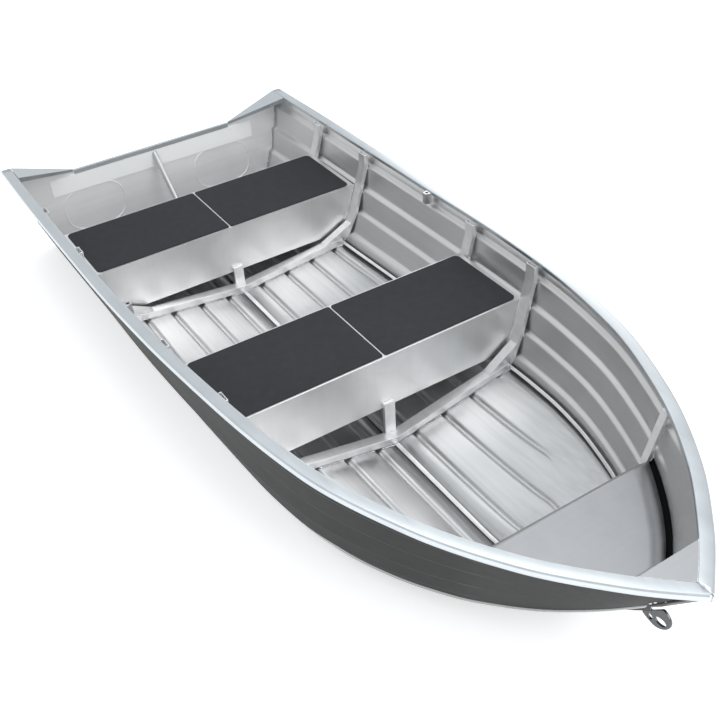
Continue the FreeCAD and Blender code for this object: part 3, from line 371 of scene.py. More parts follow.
@dataclass(frozen=True)
class HullLines:
    """The boat's lines, with sizes in metres and shares along the hull."""

    length: float = 3.5
    half_breadth: float = 0.735
    height_stern: float = 0.516
    height_bow: float = 0.576
    chine_half_breadth: float = 0.549
    chine_height: float = 0.072
    chine_height_bow: float = 0.385
    keel_height_stern: float = 0.050
    keel_height_fore: float = 0.009
    forefoot: float = 2.6
    waterline: float = 0.089
    flotation: float = 1.260
    rake: float = math.tan(math.radians(5.0))
    plate: float = 0.003
    bottom_sheet: float = 0.0025
    side_sheet: float = 0.002
    swage_first: float = 0.085
    swage_pitch: float = 0.1325
    swage_half: float = 0.014
    swage_flat: float = 0.3
    swage_depth: float = 0.009
    ledge_width: float = 0.018
    ledge_rise: float = 0.011
    rail_width: float = 0.044
    rail_wall: float = 0.003
    rail_lip: float = 0.024
    rail_inner_lip: float = 0.016
    rail_slot: float = 0.014
    chine_gap: float = 0.0036
    chine_bar: float = 0.006
    chine_lip: float = 0.008
    chine_inner: float = 0.012
    keel_gap: float = 0.0021
    frame_stand: float = 0.0194
    sheer_places: Row = (0.0, 0.15, 0.30, 0.45, 0.60, 0.72, 0.82, 0.90, 0.96, 1.0)
    sheer_breadths: Row = (0.988, 1.0, 1.0, 0.986, 0.941, 0.855, 0.685, 0.463, 0.218, 0.019)
    rise_places: Row = (0.0, 0.33, 0.66, 1.0)
    rise_shares: Row = (0.0, 0.2, 0.97, 1.0)
    chine_places: Row = (0.0, 0.263, 0.4185, 0.625, 0.6875, 0.747, 0.807, 0.867, 0.897, 0.936,
                         0.9716, 1.0)
    chine_breadths: Row = (0.965, 0.975, 1.0, 0.993, 0.972, 0.909, 0.794, 0.632, 0.538, 0.402,
                           0.213, 0.003)
    chine_rises: Row = (0.0, 0.08, 0.1166, 0.1773, 0.211, 0.262, 0.337, 0.458, 0.56, 0.727,
                        0.88, 1.0)
    keel_places: Row = (0.0, 0.335, 0.46, 0.8, 0.935, 1.0)
    keel_drops: Row = (0.0, 0.25, 0.39, 0.77, 0.92, 1.0)
    stem_power: float = 2.2
    stem_clear: float = 0.0006
    ledge_shares: Row = (0.105, 0.33, 0.588, 0.84)
    ledge_breadths: Row = (0.235, 0.506, 0.686, 0.867)
    swage_limits: Row = (0.25, 0.5, 0.72, 0.9)
    swage_ends: Row = (0.87, 0.84, 0.77, 0.63)
    swage_runout: float = 0.045
    bow_blend: float = 0.72
    ledge_fade: Row = (0.862, 0.885)
    tip_start: float = 0.95
    tip_draw: float = 0.010
    tip_sink: float = 0.0016
    tip_haste: float = 1.6
    run_step: float = 1e-4
    keel_depth: float = 0.0236

    def placed(self, x: float, y: float, z: float) -> Vector:
        """Return a point of the hull's drawing in the frame's coordinates."""
        return Vector((x - self.flotation, y, z - self.waterline))

    def transom_x(self, height: float) -> float:
        """Return where the transom's inner face is at a height."""
        return self.plate + (self.height_stern - height) * self.rake

    def sheer(self, share: float) -> Vector:
        """Find the gunwale's outer top edge.

        Args:
            share: The share of the length.

        Returns:
            The point in the hull's drawing.
        """
        breadth = self.half_breadth * smooth_line(self.sheer_places, self.sheer_breadths, share)
        rise = ((self.height_bow - self.height_stern)
                * smooth_line(self.rise_places, self.rise_shares, share))
        return Vector((share * self.length, breadth, self.height_stern + rise))

    def rail_point(self, share: float, inset: float, drop: float) -> Vector:
        """Find a point of the gunwale's section.

        Args:
            share: The share of the length.
            inset: How far inboard of the outer edge.
            drop: How far below the top.

        Returns:
            The point in the hull's drawing.
        """
        low = min(share, 1 - self.run_step)
        run = self.sheer(low + self.run_step) - self.sheer(low)
        normal = Vector((-run.y, run.x, 0)).normalized()
        return self.sheer(share) - normal * inset - Vector((0, 0, drop))

    def rail_edge(self, share: float, inset: float, drop: float) -> Vector:
        """Find a point of the gunwale's section, drawn in and sunk towards the boat's tip.

        Args:
            share: The share of the length.
            inset: How far inboard of the outer edge.
            drop: How far below the top.

        Returns:
            The point in the hull's drawing.
        """
        drawn = max(0.0, (share - self.tip_start) / (1 - self.tip_start))
        sink = self.tip_sink * min(1.0, self.tip_haste * drawn) ** 2
        return self.rail_point(share, inset, drop) - Vector((0, self.tip_draw * drawn * drawn,
                                                             sink))

    def stem_x(self, height: float) -> float:
        """Return where the keel's line reaches a height at the stem."""
        rise = (height - self.keel_height_fore) / (self.height_bow - self.keel_height_fore)
        return self.forefoot + (self.length - self.forefoot) * rise ** (1 / self.stem_power)

    def keel_face(self, height: float) -> float:
        """Return where the keel's outer face reaches a height on the centreline."""
        return self.stem_x(height + self.keel_depth) + self.stem_clear

    def chine(self, share: float) -> Vector:
        """Find the chine's inner corner.

        Args:
            share: The share of the chine's length.

        Returns:
            The corner in the hull's drawing.
        """
        rise = self.chine_height_bow - self.chine_height
        height = self.chine_height + rise * smooth_line(self.chine_places, self.chine_rises, share)
        start = self.transom_x(height)
        end = self.stem_x(self.chine_height_bow)
        curve = smooth_line(self.chine_places, self.chine_breadths, share)
        return Vector((start + share * (end - start), self.chine_half_breadth * curve, height))

    def keel(self, place: float) -> float:
        """Find the height of the inside of the bottom on the centreline.

        Args:
            place: The distance from the stern.

        Returns:
            The height in the hull's drawing.
        """
        fore = self.keel_height_fore
        if place <= self.forefoot:
            drop = smooth_line(self.keel_places, self.keel_drops, max(0.0, place / self.forefoot))
            return self.keel_height_stern - (self.keel_height_stern - fore) * drop
        share = (place - self.forefoot) / (self.length - self.forefoot)
        return fore + (self.height_bow - fore) * share ** self.stem_power

    def slope(self, share: float) -> float:
        """Return the bottom's rise angle from keel to chine."""
        corner = self.chine(share)
        return math.atan2(corner.z - self.keel(corner.x), corner.y)

    def side_line(self, share: float) -> tuple[Line, Vector, Vector]:
        """Draw the side's inner line with its ledges.

        Args:
            share: The share along the chine and the gunwale.

        Returns:
            The (y, z) points, the chine's corner and the line's top.
        """
        low = self.chine(share)
        top = self.rail_point(share, self.rail_slot, self.rail_wall)
        start = self.transom_x(top.z)
        top.x = start + top.x * (1 - start / self.length)
        blend = clamped((share - self.bow_blend) / (1 - self.bow_blend))
        first, last = self.ledge_fade
        kept = clamped((last - share) / (last - first))
        above = self.ledge_rise / 2
        plain = above * (top.y - low.y) / (top.z - low.z)
        half = plain + (self.ledge_width * (1 - blend * blend) / 2 - plain) * kept
        line = [(low.y, low.z)]
        for part, curve in zip(self.ledge_shares, self.ledge_breadths):
            height = low.z + (top.z - low.z) * part
            base = low.y + (top.y - low.y) * (curve + (part - curve) * blend)
            line += [(base - half, height - above), (base + half, height + above)]
        return line + [(top.y, top.z)], low, top

    def side_x(self, share: float, height: float) -> float:
        """Return where the side's section of a share is at a height."""
        low, top = self.side_line(share)[1:]
        return low.x + (top.x - low.x) * (height - low.z) / (top.z - low.z)

    def chine_directions(self, share: float) -> tuple[Vector, Vector, Vector]:
        """Find how the sheets run at the chine.

        Args:
            share: The share along the chine.

        Returns:
            The (y, z) directions of bottom, side and outward bisector.
        """
        slope = self.slope(share)
        line = self.side_line(share)[0]
        bottom = Vector((math.cos(slope), math.sin(slope)))
        side = (Vector(line[1]) - Vector(line[0])).normalized()
        return bottom, side, (bottom - side).normalized()

    def setback(self, direction: Vector, out: Vector) -> float:
        """Return how far a sheet stops short of the chine's corner."""
        return self.chine_gap / abs(direction.x * out.y - direction.y * out.x)

    def bottom_line(self, share: float) -> Line:
        """Draw the bottom's inner line with its grooves.

        Args:
            share: The share along the chine.

        Returns:
            The (y, z) points from the keel to the chine.
        """
        corner = self.chine(share)
        slope = self.slope(share)
        bottom, _, out = self.chine_directions(share)
        back = self.setback(bottom, out)
        keel = self.keel(corner.x)
        edge = corner.y - bottom.x * back
        limit = corner.y / self.chine_half_breadth
        room = edge - self.keel_gap - self.chine_bar * limit
        half = self.swage_half * min(1.0, limit)
        line = [(self.keel_gap, keel + self.keel_gap * math.tan(slope))]
        for index, (bound, end) in enumerate(zip(self.swage_limits, self.swage_ends)):
            place = min(self.swage_first + index * self.swage_pitch, self.keel_gap + bound * room)
            fore = clamped((end - share) / self.swage_runout)
            depth = self.swage_depth * clamped(share / self.swage_runout) * fore
            flat = half * self.swage_flat
            for step, sink in ((-half, 0.0), (-flat, depth), (flat, depth), (half, 0.0)):
                y = place + step
                line.append((y + sink * math.sin(slope),
                             keel + y * math.tan(slope) - sink * math.cos(slope)))
        return line + [(edge, corner.z - bottom.y * back)]

    def section(self, share: float, line: Line) -> list[Point]:
        """Stand a line across the boat, and at the stern against the transom.

        Args:
            share: The share along the chine.
            line: The (y, z) points.

        Returns:
            The points in the hull's drawing.
        """
        place = self.chine(share).x
        return [(self.transom_x(z) if share == 0 else place, y, z) for y, z in line]

    def nose(self, place: float, index: int) -> tuple[float, float]:
        """Find a corner of the side's inner line at a place along the length.

        Args:
            place: The distance from the stern.
            index: The corner's number along the section, 0 at the chine.

        Returns:
            Its (y, z).
        """
        share = bisected(lambda at: self.side_x(at, self.side_line(at)[0][index][1]), place)
        return self.side_line(share)[0][index]

    def side_breadth(self, place: float, height: float) -> float:
        """Find the half breadth of the side's inner face.

        Args:
            place: The distance from the stern.
            height: The height in the hull's drawing.

        Returns:
            The half breadth.
        """
        line = self.side_line(bisected(lambda at: self.side_x(at, height), place))[0]
        return (crossings(line, height) or [line[0][0]])[0]

    def frame_face(self, place: float, height: float) -> float:
        """Find the half breadth of a side frame's inner face.

        Args:
            place: The distance from the stern.
            height: The height in the hull's drawing.

        Returns:
            The half breadth.
        """
        corners = [self.nose(place, index) for index in (0, 1, 3, 5, 7)]
        corners.append((corners[-1][0], self.length))
        return (crossings(corners, height) or [corners[0][0]])[0] - self.frame_stand

    def share_at(self, place: float) -> float:
        """Return the share of the chine that lies at a place along the length."""
        return bisected(lambda at: self.chine(at).x, place)

    def floor(self, place: float, breadth: float) -> float:
        """Return the height of the inside of the bottom at a place, grooves left out."""
        return self.keel(place) + breadth * math.tan(self.slope(self.share_at(place)))

    def waterline_breadth(self, share: float) -> float:
        """Find the outer half breadth of the hull at the waterline.

        Args:
            share: The share along the chine.

        Returns:
            The half breadth, zero where the hull is dry.
        """
        if self.keel(self.chine(share).x) - self.bottom_sheet >= self.waterline:
            return 0.0
        line = offset_line(self.bottom_line(share), self.bottom_sheet)
        line += offset_line(self.side_line(share)[0], self.side_sheet)
        return max([0.0] + crossings(line, self.waterline))


LINES = HullLines()


def stations(low: float, high: float, count: int = 120) -> list[float]:
    """Return rising shares between two limits, closer together towards the high one."""
    return [low + (high - low) * (1 - (1 - i / count) ** STATION_CROWDING)
            for i in range(count + 1)]


def finish_piece(piece: bpy.types.Object, finish: Finish, slot: str, *nodes: str,
                 outside: Finish | None = None) -> bpy.types.Object:
    """Give a piece its finish and its body, and hide the nodes that it stands for.

    Args:
        piece: The piece.
        finish: Its first finish, unless it already wears one.
        slot: The record's material slot; not used.
        nodes: The frame's nodes that it replaces.
        outside: The finish of its second material, if it has two.

    Returns:
        The piece.
    """
    if not piece.data.materials:
        for worn in (finish, outside):
            if worn:
                piece.data.materials.append(worn.material())
    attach(piece, BODY)
    if nodes:
        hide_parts(*nodes)
    LOG.info("%s: %d faces", piece.name, len(piece.data.polygons))
    return piece


def object_from(name: str, shape: bmesh.types.BMesh, outward: bool = True) -> bpy.types.Object:
    """Turn a bmesh into a linked object with its faces outward.

    Args:
        name: The object's name.
        shape: The bmesh, which is freed.
        outward: Whether to turn a closed shape's faces outward.

    Returns:
        The new object.
    """
    if outward and shape.calc_volume(signed=True) < 0:
        bmesh.ops.reverse_faces(shape, faces=shape.faces[:])
    mesh = bpy.data.meshes.new(name)
    shape.to_mesh(mesh)
    shape.free()
    made = bpy.data.objects.new(name, mesh)
    bpy.context.scene.collection.objects.link(made)
    return made


def keep_crisp(shape: bmesh.types.BMesh) -> None:
    """Mark the edges that bend past the sharp angle.

    Args:
        shape: The bmesh.
    """
    for edge in shape.edges:
        if len(edge.link_faces) == 2 and edge.calc_face_angle(0.0) > math.radians(SHARP_DEG):
            edge.smooth = False


def soften(piece: bpy.types.Object, width: float, angle_deg: float, segments: int = 2) -> None:
    """Round a piece's edges.

    Args:
        piece: The piece.
        width: How wide a rounded edge is.
        angle_deg: The bend past which an edge is rounded.
        segments: How many faces it gets.
    """
    bevel = piece.modifiers.new("soft_edges", "BEVEL")
    bevel.width = width
    bevel.segments = segments
    bevel.limit_method = "ANGLE"
    bevel.angle_limit = math.radians(angle_deg)


def lofted(name: str, rings: list[Path], second: range = range(0)) -> bpy.types.Object:
    """Make a closed solid through rings of equal point count.

    Args:
        name: The object's name.
        rings: The closed sections, in the frame's coordinates.
        second: The strips between ring points that wear the second finish.

    Returns:
        The new object.
    """
    shape = bmesh.new()
    grid = [[shape.verts.new(point) for point in ring] for ring in rings]
    count = len(rings[0])
    for ring, following in zip(grid, grid[1:]):
        for index in range(count):
            after = (index + 1) % count
            made = shape.faces.new((ring[index], ring[after], following[after],
                                    following[index]))
            made.smooth = True
            made.material_index = int(index in second)
    shape.faces.new(grid[0][::-1])
    shape.faces.new(grid[-1])
    keep_crisp(shape)
    return object_from(name, shape)


def dressed(node_name: str, finish: Finish, slot: str, edge: float = 0.0008,
            outside: Finish | None = None) -> bpy.types.Object:
    """Make a crisp copy of a frame's node with softened edges.

    Args:
        node_name: The node.
        finish: Its finish.
        slot: The record's material slot.
        edge: The width of the softened edges.
        outside: The finish of its second material, if it has two.

    Returns:
        The copy, which stands for the node.
    """
    shape = bmesh.new()
    shape.from_mesh(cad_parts[node_name].data)
    bmesh.ops.remove_doubles(shape, verts=shape.verts[:], dist=MERGE_DISTANCE)
    bmesh.ops.dissolve_limit(shape, angle_limit=math.radians(FLAT_DEG), verts=shape.verts[:],
                             edges=shape.edges[:])
    for face in shape.faces:
        face.smooth = True
    keep_crisp(shape)
    made = object_from(f"{node_name}_piece", shape, outward=False)
    soften(made, edge, 35)
    return finish_piece(made, finish, slot, node_name, outside=outside)


def slab(name: str, outline: Path, thickness: float, edge: float) -> bpy.types.Object:
    """Make a flat slab below an outline, with softened edges.

    Args:
        name: The object's name.
        outline: The top's corners, in the frame's coordinates.
        thickness: How far the slab goes down.
        edge: The width of its softened edges.

    Returns:
        The new object.
    """
    shape = bmesh.new()
    top = [shape.verts.new(point) for point in outline]
    low = [shape.verts.new(point - Vector((0, 0, thickness))) for point in outline]
    shape.faces.new(top)
    shape.faces.new(low[::-1])
    for index in range(len(top)):
        after = (index + 1) % len(top)
        shape.faces.new((top[index], low[index], low[after], top[after]))
    bmesh.ops.recalc_face_normals(shape, faces=shape.faces[:])
    made = object_from(name, shape)
    soften(made, edge, 50)
    return made


@dataclass
class SubAssembly:
    """A group of pieces that is drawn from the hull's lines."""

    lines: HullLines = LINES

    def framed(self, points: Iterable[Point | Vector], side: Side = Side.PORT) -> Path:
        """Return the drawing's port points in the frame, or their mirror image to starboard."""
        return [self.lines.placed(x, y * side.value, z) for x, y, z in points]

    def oblong(self, fore: tuple[float, float], half: float, height: float) -> Path:
        """Draw a level rectangle across the centreline.

        Args:
            fore: The places along the length where it starts and ends.
            half: Its half breadth.
            height: The height in the hull's drawing.

        Returns:
            Its corners in the frame.
        """
        low, high = fore
        return self.framed([(low, -half, height), (high, -half, height), (high, half, height),
                            (low, half, height)])


@dataclass
class Plating(SubAssembly):
    """The pressed skins, bright inside and near-black outside in painted shade, and the extrusions
    that join them.
    """

    bend: float = 0.006
    crease: float = 0.001
    bar_crease: float = 0.0012
    head_half: float = 0.0065
    head_wall: float = 0.0035
    web: float = 0.003
    flange: float = 0.009
    bar: float = 0.012
    wall: float = 0.0025
    seam: float = 0.0006
    middle_clear: float = 0.0002
    bottom_end: float = 0.9946
    side_end: float = 0.998
    keel_outside: range = range(12, 41)
    chine_outside: range = range(8, 15)

    def side_ring(self, share: float) -> list[Point]:
        """Draw the side sheet's closed section with bent ledges.

        Args:
            share: The share along the chine.

        Returns:
            Its points in the hull's drawing.
        """
        lines = self.lines
        line, low, top = lines.side_line(share)
        direction, out = lines.chine_directions(share)[1:]
        back = lines.setback(direction, out)
        line = [(low.y + direction.x * back, low.z + direction.y * back)] + line[1:]
        inner = rounded(line, self.bend)
        outer = rounded(offset_line(line, lines.side_sheet), self.bend)
        lean = (top.x - low.x) / (top.z - low.z)
        return [(low.x + (z - low.z) * lean, y, z) for y, z in inner + outer[::-1]]

    def bottom_ring(self, share: float) -> list[Point]:
        """Draw the bottom sheet's closed section with bent grooves.

        Args:
            share: The share along the chine.

        Returns:
            Its points in the hull's drawing.
        """
        line = self.lines.bottom_line(share)
        outer = rounded(offset_line(line, self.lines.bottom_sheet), self.bend)
        return self.lines.section(share, rounded(line, self.bend) + outer[::-1])

    def chine_ring(self, share: float) -> list[Point]:
        """Draw the chine strip's closed section, a web with a wider head inside.

        Args:
            share: The share along the chine.

        Returns:
            Its points in the hull's drawing.
        """
        lines = self.lines
        corner = lines.chine(share)
        out = lines.chine_directions(share)[2]
        across = Vector((-out.y, out.x))
        half = lines.chine_bar / 2
        room = min(1.0, corner.y / (4 * self.head_half))
        head = half + (self.head_half - half) * room
        inner, lip = -lines.chine_inner, lines.chine_lip
        neck = self.head_wall + inner
        profile = [(inner, -head), (neck, -head), (neck, -half), (lip, -half), (lip, half),
                   (neck, half), (neck, head), (inner, head)]
        middle = Vector((corner.y, corner.z))
        ring = rounded([tuple(middle + out * along + across * wide) for along, wide in profile],
                       self.crease, 2, True)
        return lines.section(share, [(max(y, self.middle_clear), z) for y, z in ring])

    def keel_ring(self, share: float) -> list[Point]:
        """Draw the keel's closed section: inner flanges, web, outer flanges and bar.

        Args:
            share: The share along the chine.

        Returns:
            Its points in the hull's drawing.
        """
        lines = self.lines
        corner = lines.chine(share)
        keel = lines.keel(corner.x)
        rise = math.tan(lines.slope(share))
        lean = math.hypot(1.0, rise)
        flange = min(self.flange, corner.y / 2) / lean
        seam, over = self.seam, self.seam + self.wall
        under = lines.bottom_sheet + seam
        half = [(0.0, over), (flange, over), (flange, seam), (self.web / 2, seam),
                (self.web / 2, -under), (flange, -under), (flange, -under - self.wall),
                (self.bar / 2, -under - self.wall)]
        port = [(y, keel + y * rise + above * lean) for y, above in half]
        port.append((self.bar / 2, keel - lines.keel_depth))
        ring = rounded(port + [(-y, z) for y, z in port[:0:-1]], self.bar_crease, 2, True)
        return lines.section(share, ring)

    def build(self) -> None:
        """Build the four skins, the chine strips and the keel."""
        shares = stations(0.0, self.bottom_end)
        keel = lofted("keel_bar", [self.framed(self.keel_ring(share)) for share in shares],
                      self.keel_outside)
        finish_piece(keel, FRAME_METAL, "extrusion", "keel", outside=STEM_METAL)
        for side in Side:
            rings = [self.framed(self.chine_ring(share), side) for share in shares]
            strip = lofted(f"chine_seam_{side.word}", rings, self.chine_outside)
            finish_piece(strip, FRAME_METAL, "extrusion", f"chine_strip_{side.word}",
                         outside=LIP_METAL)
            for word, ring_of, end, inner in (
                    ("side", self.side_ring, self.side_end, INSIDE_SHEET),
                    ("bottom", self.bottom_ring, self.bottom_end, BOTTOM_SHEET)):
                rings = [self.framed(ring_of(share), side) for share in stations(0.0, end)]
                count = len(rings[0])
                skin = lofted(f"{word}_skin_{side.word}", rings, range(count // 2 - 1, count))
                finish_piece(skin, inner, "hull_sheet", f"{word}_{side.word}",
                             outside=OUTSIDE_PAINTED_SHADE)


@dataclass
class Rails(SubAssembly):
    """The gunwale extrusions with a round outer lip."""

    nose: float = 0.009
    crease: float = 0.001
    inner_round: float = 0.004
    lip_wall: float = 0.006
    gap: float = 0.00015

    def ring(self, share: float) -> list[Point]:
        """Draw the rail's closed section.

        Args:
            share: The share of the length.

        Returns:
            Its points in the hull's drawing.
        """
        lines = self.lines
        wide, wall, lip = lines.rail_width, lines.rail_wall, self.lip_wall
        profile = [(0.0, 0.0), (0.0, lines.rail_lip), (lip, lines.rail_lip), (lip, wall),
                   (wide - wall, wall), (wide - wall, lines.rail_inner_lip),
                   (wide, lines.rail_inner_lip), (wide, 0.0)]
        radii = (self.nose, self.nose) + (self.crease,) * 5 + (self.inner_round,)
        ring = []
        for index, here in enumerate(profile):
            corner = [profile[index - 1], here, profile[(index + 1) % len(profile)]]
            bend = rounded(corner, radii[index])[1:-1]
            ring += [lines.rail_edge(share, inset, drop) for inset, drop in bend]
        return [(p.x, max(p.y, self.gap), p.z) for p in ring]

    def build(self) -> None:
        """Build both rails."""
        for side in Side:
            rings = [self.framed(self.ring(share), side) for share in stations(0.0, 1.0)]
            finish_piece(lofted(f"rail_{side.word}", rings), RAIL, "gunwale",
                         f"gunwale_{side.word}")


@dataclass
class BowSheets(SubAssembly):
    """The bow plate with a near-black strip of painted shade in each side slot, the breast plate
    and the closed tip of the rails.
    """

    wall: float = 0.003
    breast_start: float = 0.9655
    breast_gap: float = 0.0006
    breast_sink: float = 0.0004
    breast_point: float = 0.9
    breast_edge: float = 0.0005
    least_breadth: float = 0.0008
    plate_setback: float = 0.562
    plate_run: float = 0.324
    plate_height: float = 0.400
    plate_turn: float = 0.012
    plate_margin: float = 0.060
    plate_flange: float = 0.026
    plate_bend: float = 0.014
    flange_lap: float = 0.0005
    flange_sink: float = 0.0003
    flange_edge: float = 0.0012
    seal_drop: float = 0.0036
    slot_gap: float = 0.0195
    slot_spread: float = 0.004
    seal_climb: float = 0.007
    seal_wall: float = 0.004
    shade_strip_lap: float = 0.003
    seal_step: float = 0.002
    side_clear: float = 0.0012
    nose_drop: float = 0.0035
    nose_lap: float = 0.0002
    nose_edge: float = 0.001

    def breast(self) -> None:
        """Build the breast plate up to the point where the rails meet."""
        lines = self.lines
        port = []
        for share in spaced(self.breast_start, 1.0, 8):
            point = lines.rail_edge(share, lines.rail_width + self.breast_gap, 0.0)
            if point.y > self.least_breadth:
                port.append(point)
        height = min(p.z for p in port) - self.breast_sink
        port.append(Vector((port[-1].x + port[-1].y * self.breast_point,
                            self.least_breadth / 2, height)))
        level = [(p.x, p.y, height) for p in port]
        outline = self.framed(level) + self.framed(level[::-1], Side.STARBOARD)
        finish_piece(slab("breast_sheet", outline, self.wall, self.breast_edge), BREAST_SHEET,
                     "fitting_sheet", "breast_plate")

    def tip(self) -> None:
        """Fill the notch between the rails' ends with a small nose."""
        end = self.lines.rail_edge(1.0, 0.0, self.nose_drop)
        half = end.y + self.nose_lap
        outline = self.framed([(end.x - self.nose_lap, -half, end.z),
                               (end.x - half * 1.5, 0.0, end.z),
                               (end.x - self.nose_lap, half, end.z)])
        nose = slab("rail_nose", outline, self.lines.rail_lip - 2 * self.nose_drop,
                    self.nose_edge)
        finish_piece(nose, RAIL, "gunwale")

    def plate_edge(self, part: float, place: float) -> float:
        """Return the bow plate's half breadth at a part of its run."""
        low = self.plate_height - self.plate_turn
        return self.lines.side_breadth(place, low) - self.slot_gap - self.slot_spread * part

    def deck(self) -> None:
        """Build the bow plate, bent down softly to its sides, and its turned-down rear edge."""
        aft = self.lines.length - self.plate_setback
        high, low = self.plate_height, self.plate_height - self.plate_turn
        rings = []
        for part in spaced(0.0, 1.0, 24):
            place = aft + self.plate_run * part
            edge = self.plate_edge(part, place)
            crease = edge - self.plate_margin
            line = [(-edge, low), (-crease, high), (crease, high), (edge, low)]
            top = rounded(line, self.plate_bend, 6)
            ring = top + [(y, z - self.wall) for y, z in top[::-1]]
            rings.append(self.framed((place, y, z) for y, z in ring))
        finish_piece(lofted("bow_deck", rings), DECK_SHEET, "fitting_sheet", "bow_plate")
        start = aft - self.flange_lap
        outline = self.oblong((start, start + self.wall),
                             self.plate_edge(0.0, aft) - self.plate_margin,
                             high - self.flange_sink)
        edge = slab("bow_deck_edge", outline, self.plate_flange, self.flange_edge)
        finish_piece(edge, RAIL, "fitting_sheet")

    def shade_strips(self) -> None:
        """Lay a near-black strip of painted shade in the slot between the bow plate and each side.
        """
        lines = self.lines
        aft = lines.length - self.plate_setback
        low = self.plate_height - self.plate_turn
        top, rim = low - self.seal_drop, low + self.seal_climb
        under = top - self.seal_wall
        for side in Side:
            rings = []
            for part in spaced(0.0, 1.0, 16):
                place = aft + self.seal_step + (self.plate_run - 2 * self.seal_step) * part
                inner = self.plate_edge(part, place) - self.shade_strip_lap
                high, outer, outer_low = (lines.side_breadth(place, z) - self.side_clear
                                          for z in (rim, top, under))
                ring = ((inner, top), (outer - self.shade_strip_lap, top), (high, rim),
                        (outer_low, under), (inner, under))
                rings.append(self.framed([(place, y, z) for y, z in ring], side))
            finish_piece(lofted(f"bow_seal_{side.word}", rings), SHADE_STRIP_BLACK, "pad")

    def build(self) -> None:
        """Build the bow's sheets."""
        self.deck()
        self.breast()
        self.tip()
        self.shade_strips()


@dataclass
class Fittings(SubAssembly):
    """The pieces that keep the frame's own shape: thwarts, frames, stern and bow fittings."""

    thwart_edge: float = 0.0015
    frame_edge: float = 0.0012
    outward: float = -0.5
    post_half: float = 0.023
    post_depth: float = 0.017
    post_wall: float = 0.0032
    post_tops: tuple[tuple[str, float, float], ...] = (("aft", 0.8265, 0.156),
                                                       ("mid", 2.033, 0.195))
    lid_sink: float = 0.0002
    lid_wall: float = 0.002
    lid_edge: float = 0.0003

    def post_lids(self) -> None:
        """Close the tops of the two hollow centre posts."""
        half = self.post_half - self.post_wall
        for word, front, height in self.post_tops:
            inside = (front + self.post_wall + self.lid_sink,
                      front + self.post_depth - self.post_wall)
            lid = slab(f"post_lid_{word}", self.oblong(inside, half, height - self.lid_sink),
                       self.lid_wall, self.lid_edge)
            finish_piece(lid, FRAME_METAL, "extrusion")

    def build(self) -> None:
        """Dress each node in its finish."""
        for word in ("aft", "mid"):
            dressed(f"thwart_{word}", FOLDED_SHEET, "fitting_sheet", self.thwart_edge)
            dressed(f"floor_frame_{word}", FRAME_METAL, "extrusion", self.frame_edge)
            for side in Side:
                for reach in ("long", "short"):
                    dressed(f"frame_{word}_{reach}_{side.word}", FRAME_METAL, "extrusion",
                            self.frame_edge)
                dressed(f"gusset_{word}_{side.word}", FRAME_METAL, "fitting_sheet")
        transom = dressed("transom", TRANSOM_SHEET, "hull_sheet", outside=OUTSIDE_PAINTED_SHADE)
        # Faces looking aft wear the outside's painted shade.
        for face in transom.data.polygons:
            face.material_index = int(face.normal.x < self.outward)
        for name, finish, slot in (("stem_cap", STEM_METAL, "extrusion"),
                                   ("transom_doubler", DOUBLER_SHEET, "fitting_sheet"),
                                   ("motor_plate", FOLDED_SHEET, "fitting_sheet"),
                                   ("transom_cap", RAIL, "extrusion"),
                                   ("transom_brace", TUBE_METAL, "extrusion")):
            dressed(name, finish, slot)
        for side in Side:
            for name, finish, slot in (("corner_knee", RAIL, "fitting_sheet"),
                                       ("handle", CAST_METAL, "cast_fitting"),
                                       ("rowlock_block", CAST_METAL, "cast_fitting"),
                                       ("bow_frame", FRAME_METAL, "extrusion")):
                dressed(f"{name}_{side.word}", finish, slot)
        self.post_lids()


@dataclass
class BowEye(SubAssembly):
    """The fin below the stem, with a large oval hole and a small one."""

    wall: float = 0.008
    edge: float = 0.0022
    corner: float = 0.02
    root: Row = (0.3855, 0.365, 0.345, 0.325, 0.3085)
    outline: tuple[tuple[float, float], ...] = (
        (3.3248, 0.2996), (3.3459, 0.2950), (3.3658, 0.2999), (3.3855, 0.3147),
        (3.3985, 0.3335), (3.4017, 0.3518), (3.3935, 0.3700))
    holes: tuple[Row, ...] = ((3.3665, 0.3305, 0.0205, 0.0125), (3.3300, 0.3170, 0.0088, 0.0088))
    tilt_deg: float = 14.0
    steps: int = 32

    def loops(self) -> list[Line]:
        """Draw the outline and both holes.

        Returns:
            The closed (x, z) lines.
        """
        root = [(self.lines.keel_face(height), height) for height in self.root]
        loops = [rounded(root + list(self.outline), self.corner, 3, True)]
        cos, sin = math.cos(math.radians(self.tilt_deg)), math.sin(math.radians(self.tilt_deg))
        for x, z, half_long, half_short in self.holes:
            ovals = [(half_long * math.cos(angle), half_short * math.sin(angle))
                     for angle in turned(self.steps)]
            loops.append([(x + along * cos - across * sin, z + along * sin + across * cos)
                          for along, across in ovals])
        return loops

    def build(self) -> None:
        """Build the fin."""
        shape = bmesh.new()
        near, far = ([[shape.verts.new(self.lines.placed(x, y, z)) for x, z in loop]
                      for loop in self.loops()] for y in (self.wall / 2, -self.wall / 2))
        twin = {a: b for one, two in zip(near, far) for a, b in zip(one, two)}
        rims = [pair for ring in near for pair in zip(ring, ring[1:] + ring[:1])]
        edges = [shape.edges.new(pair) for pair in rims]
        made = bmesh.ops.triangle_fill(shape, use_beauty=True, use_dissolve=False,
                                       edges=edges)["geom"]
        for item in made:
            if isinstance(item, bmesh.types.BMFace):
                shape.faces.new([twin[vert] for vert in item.verts][::-1])
        for a, b in rims:
            shape.faces.new((a, b, twin[b], twin[a])).smooth = True
        bmesh.ops.recalc_face_normals(shape, faces=shape.faces[:])
        fin = object_from("bow_eye_fin", shape)
        soften(fin, self.edge, 60, segments=3)
        finish_piece(fin, EYE_METAL, "cast_fitting", "bow_eye")


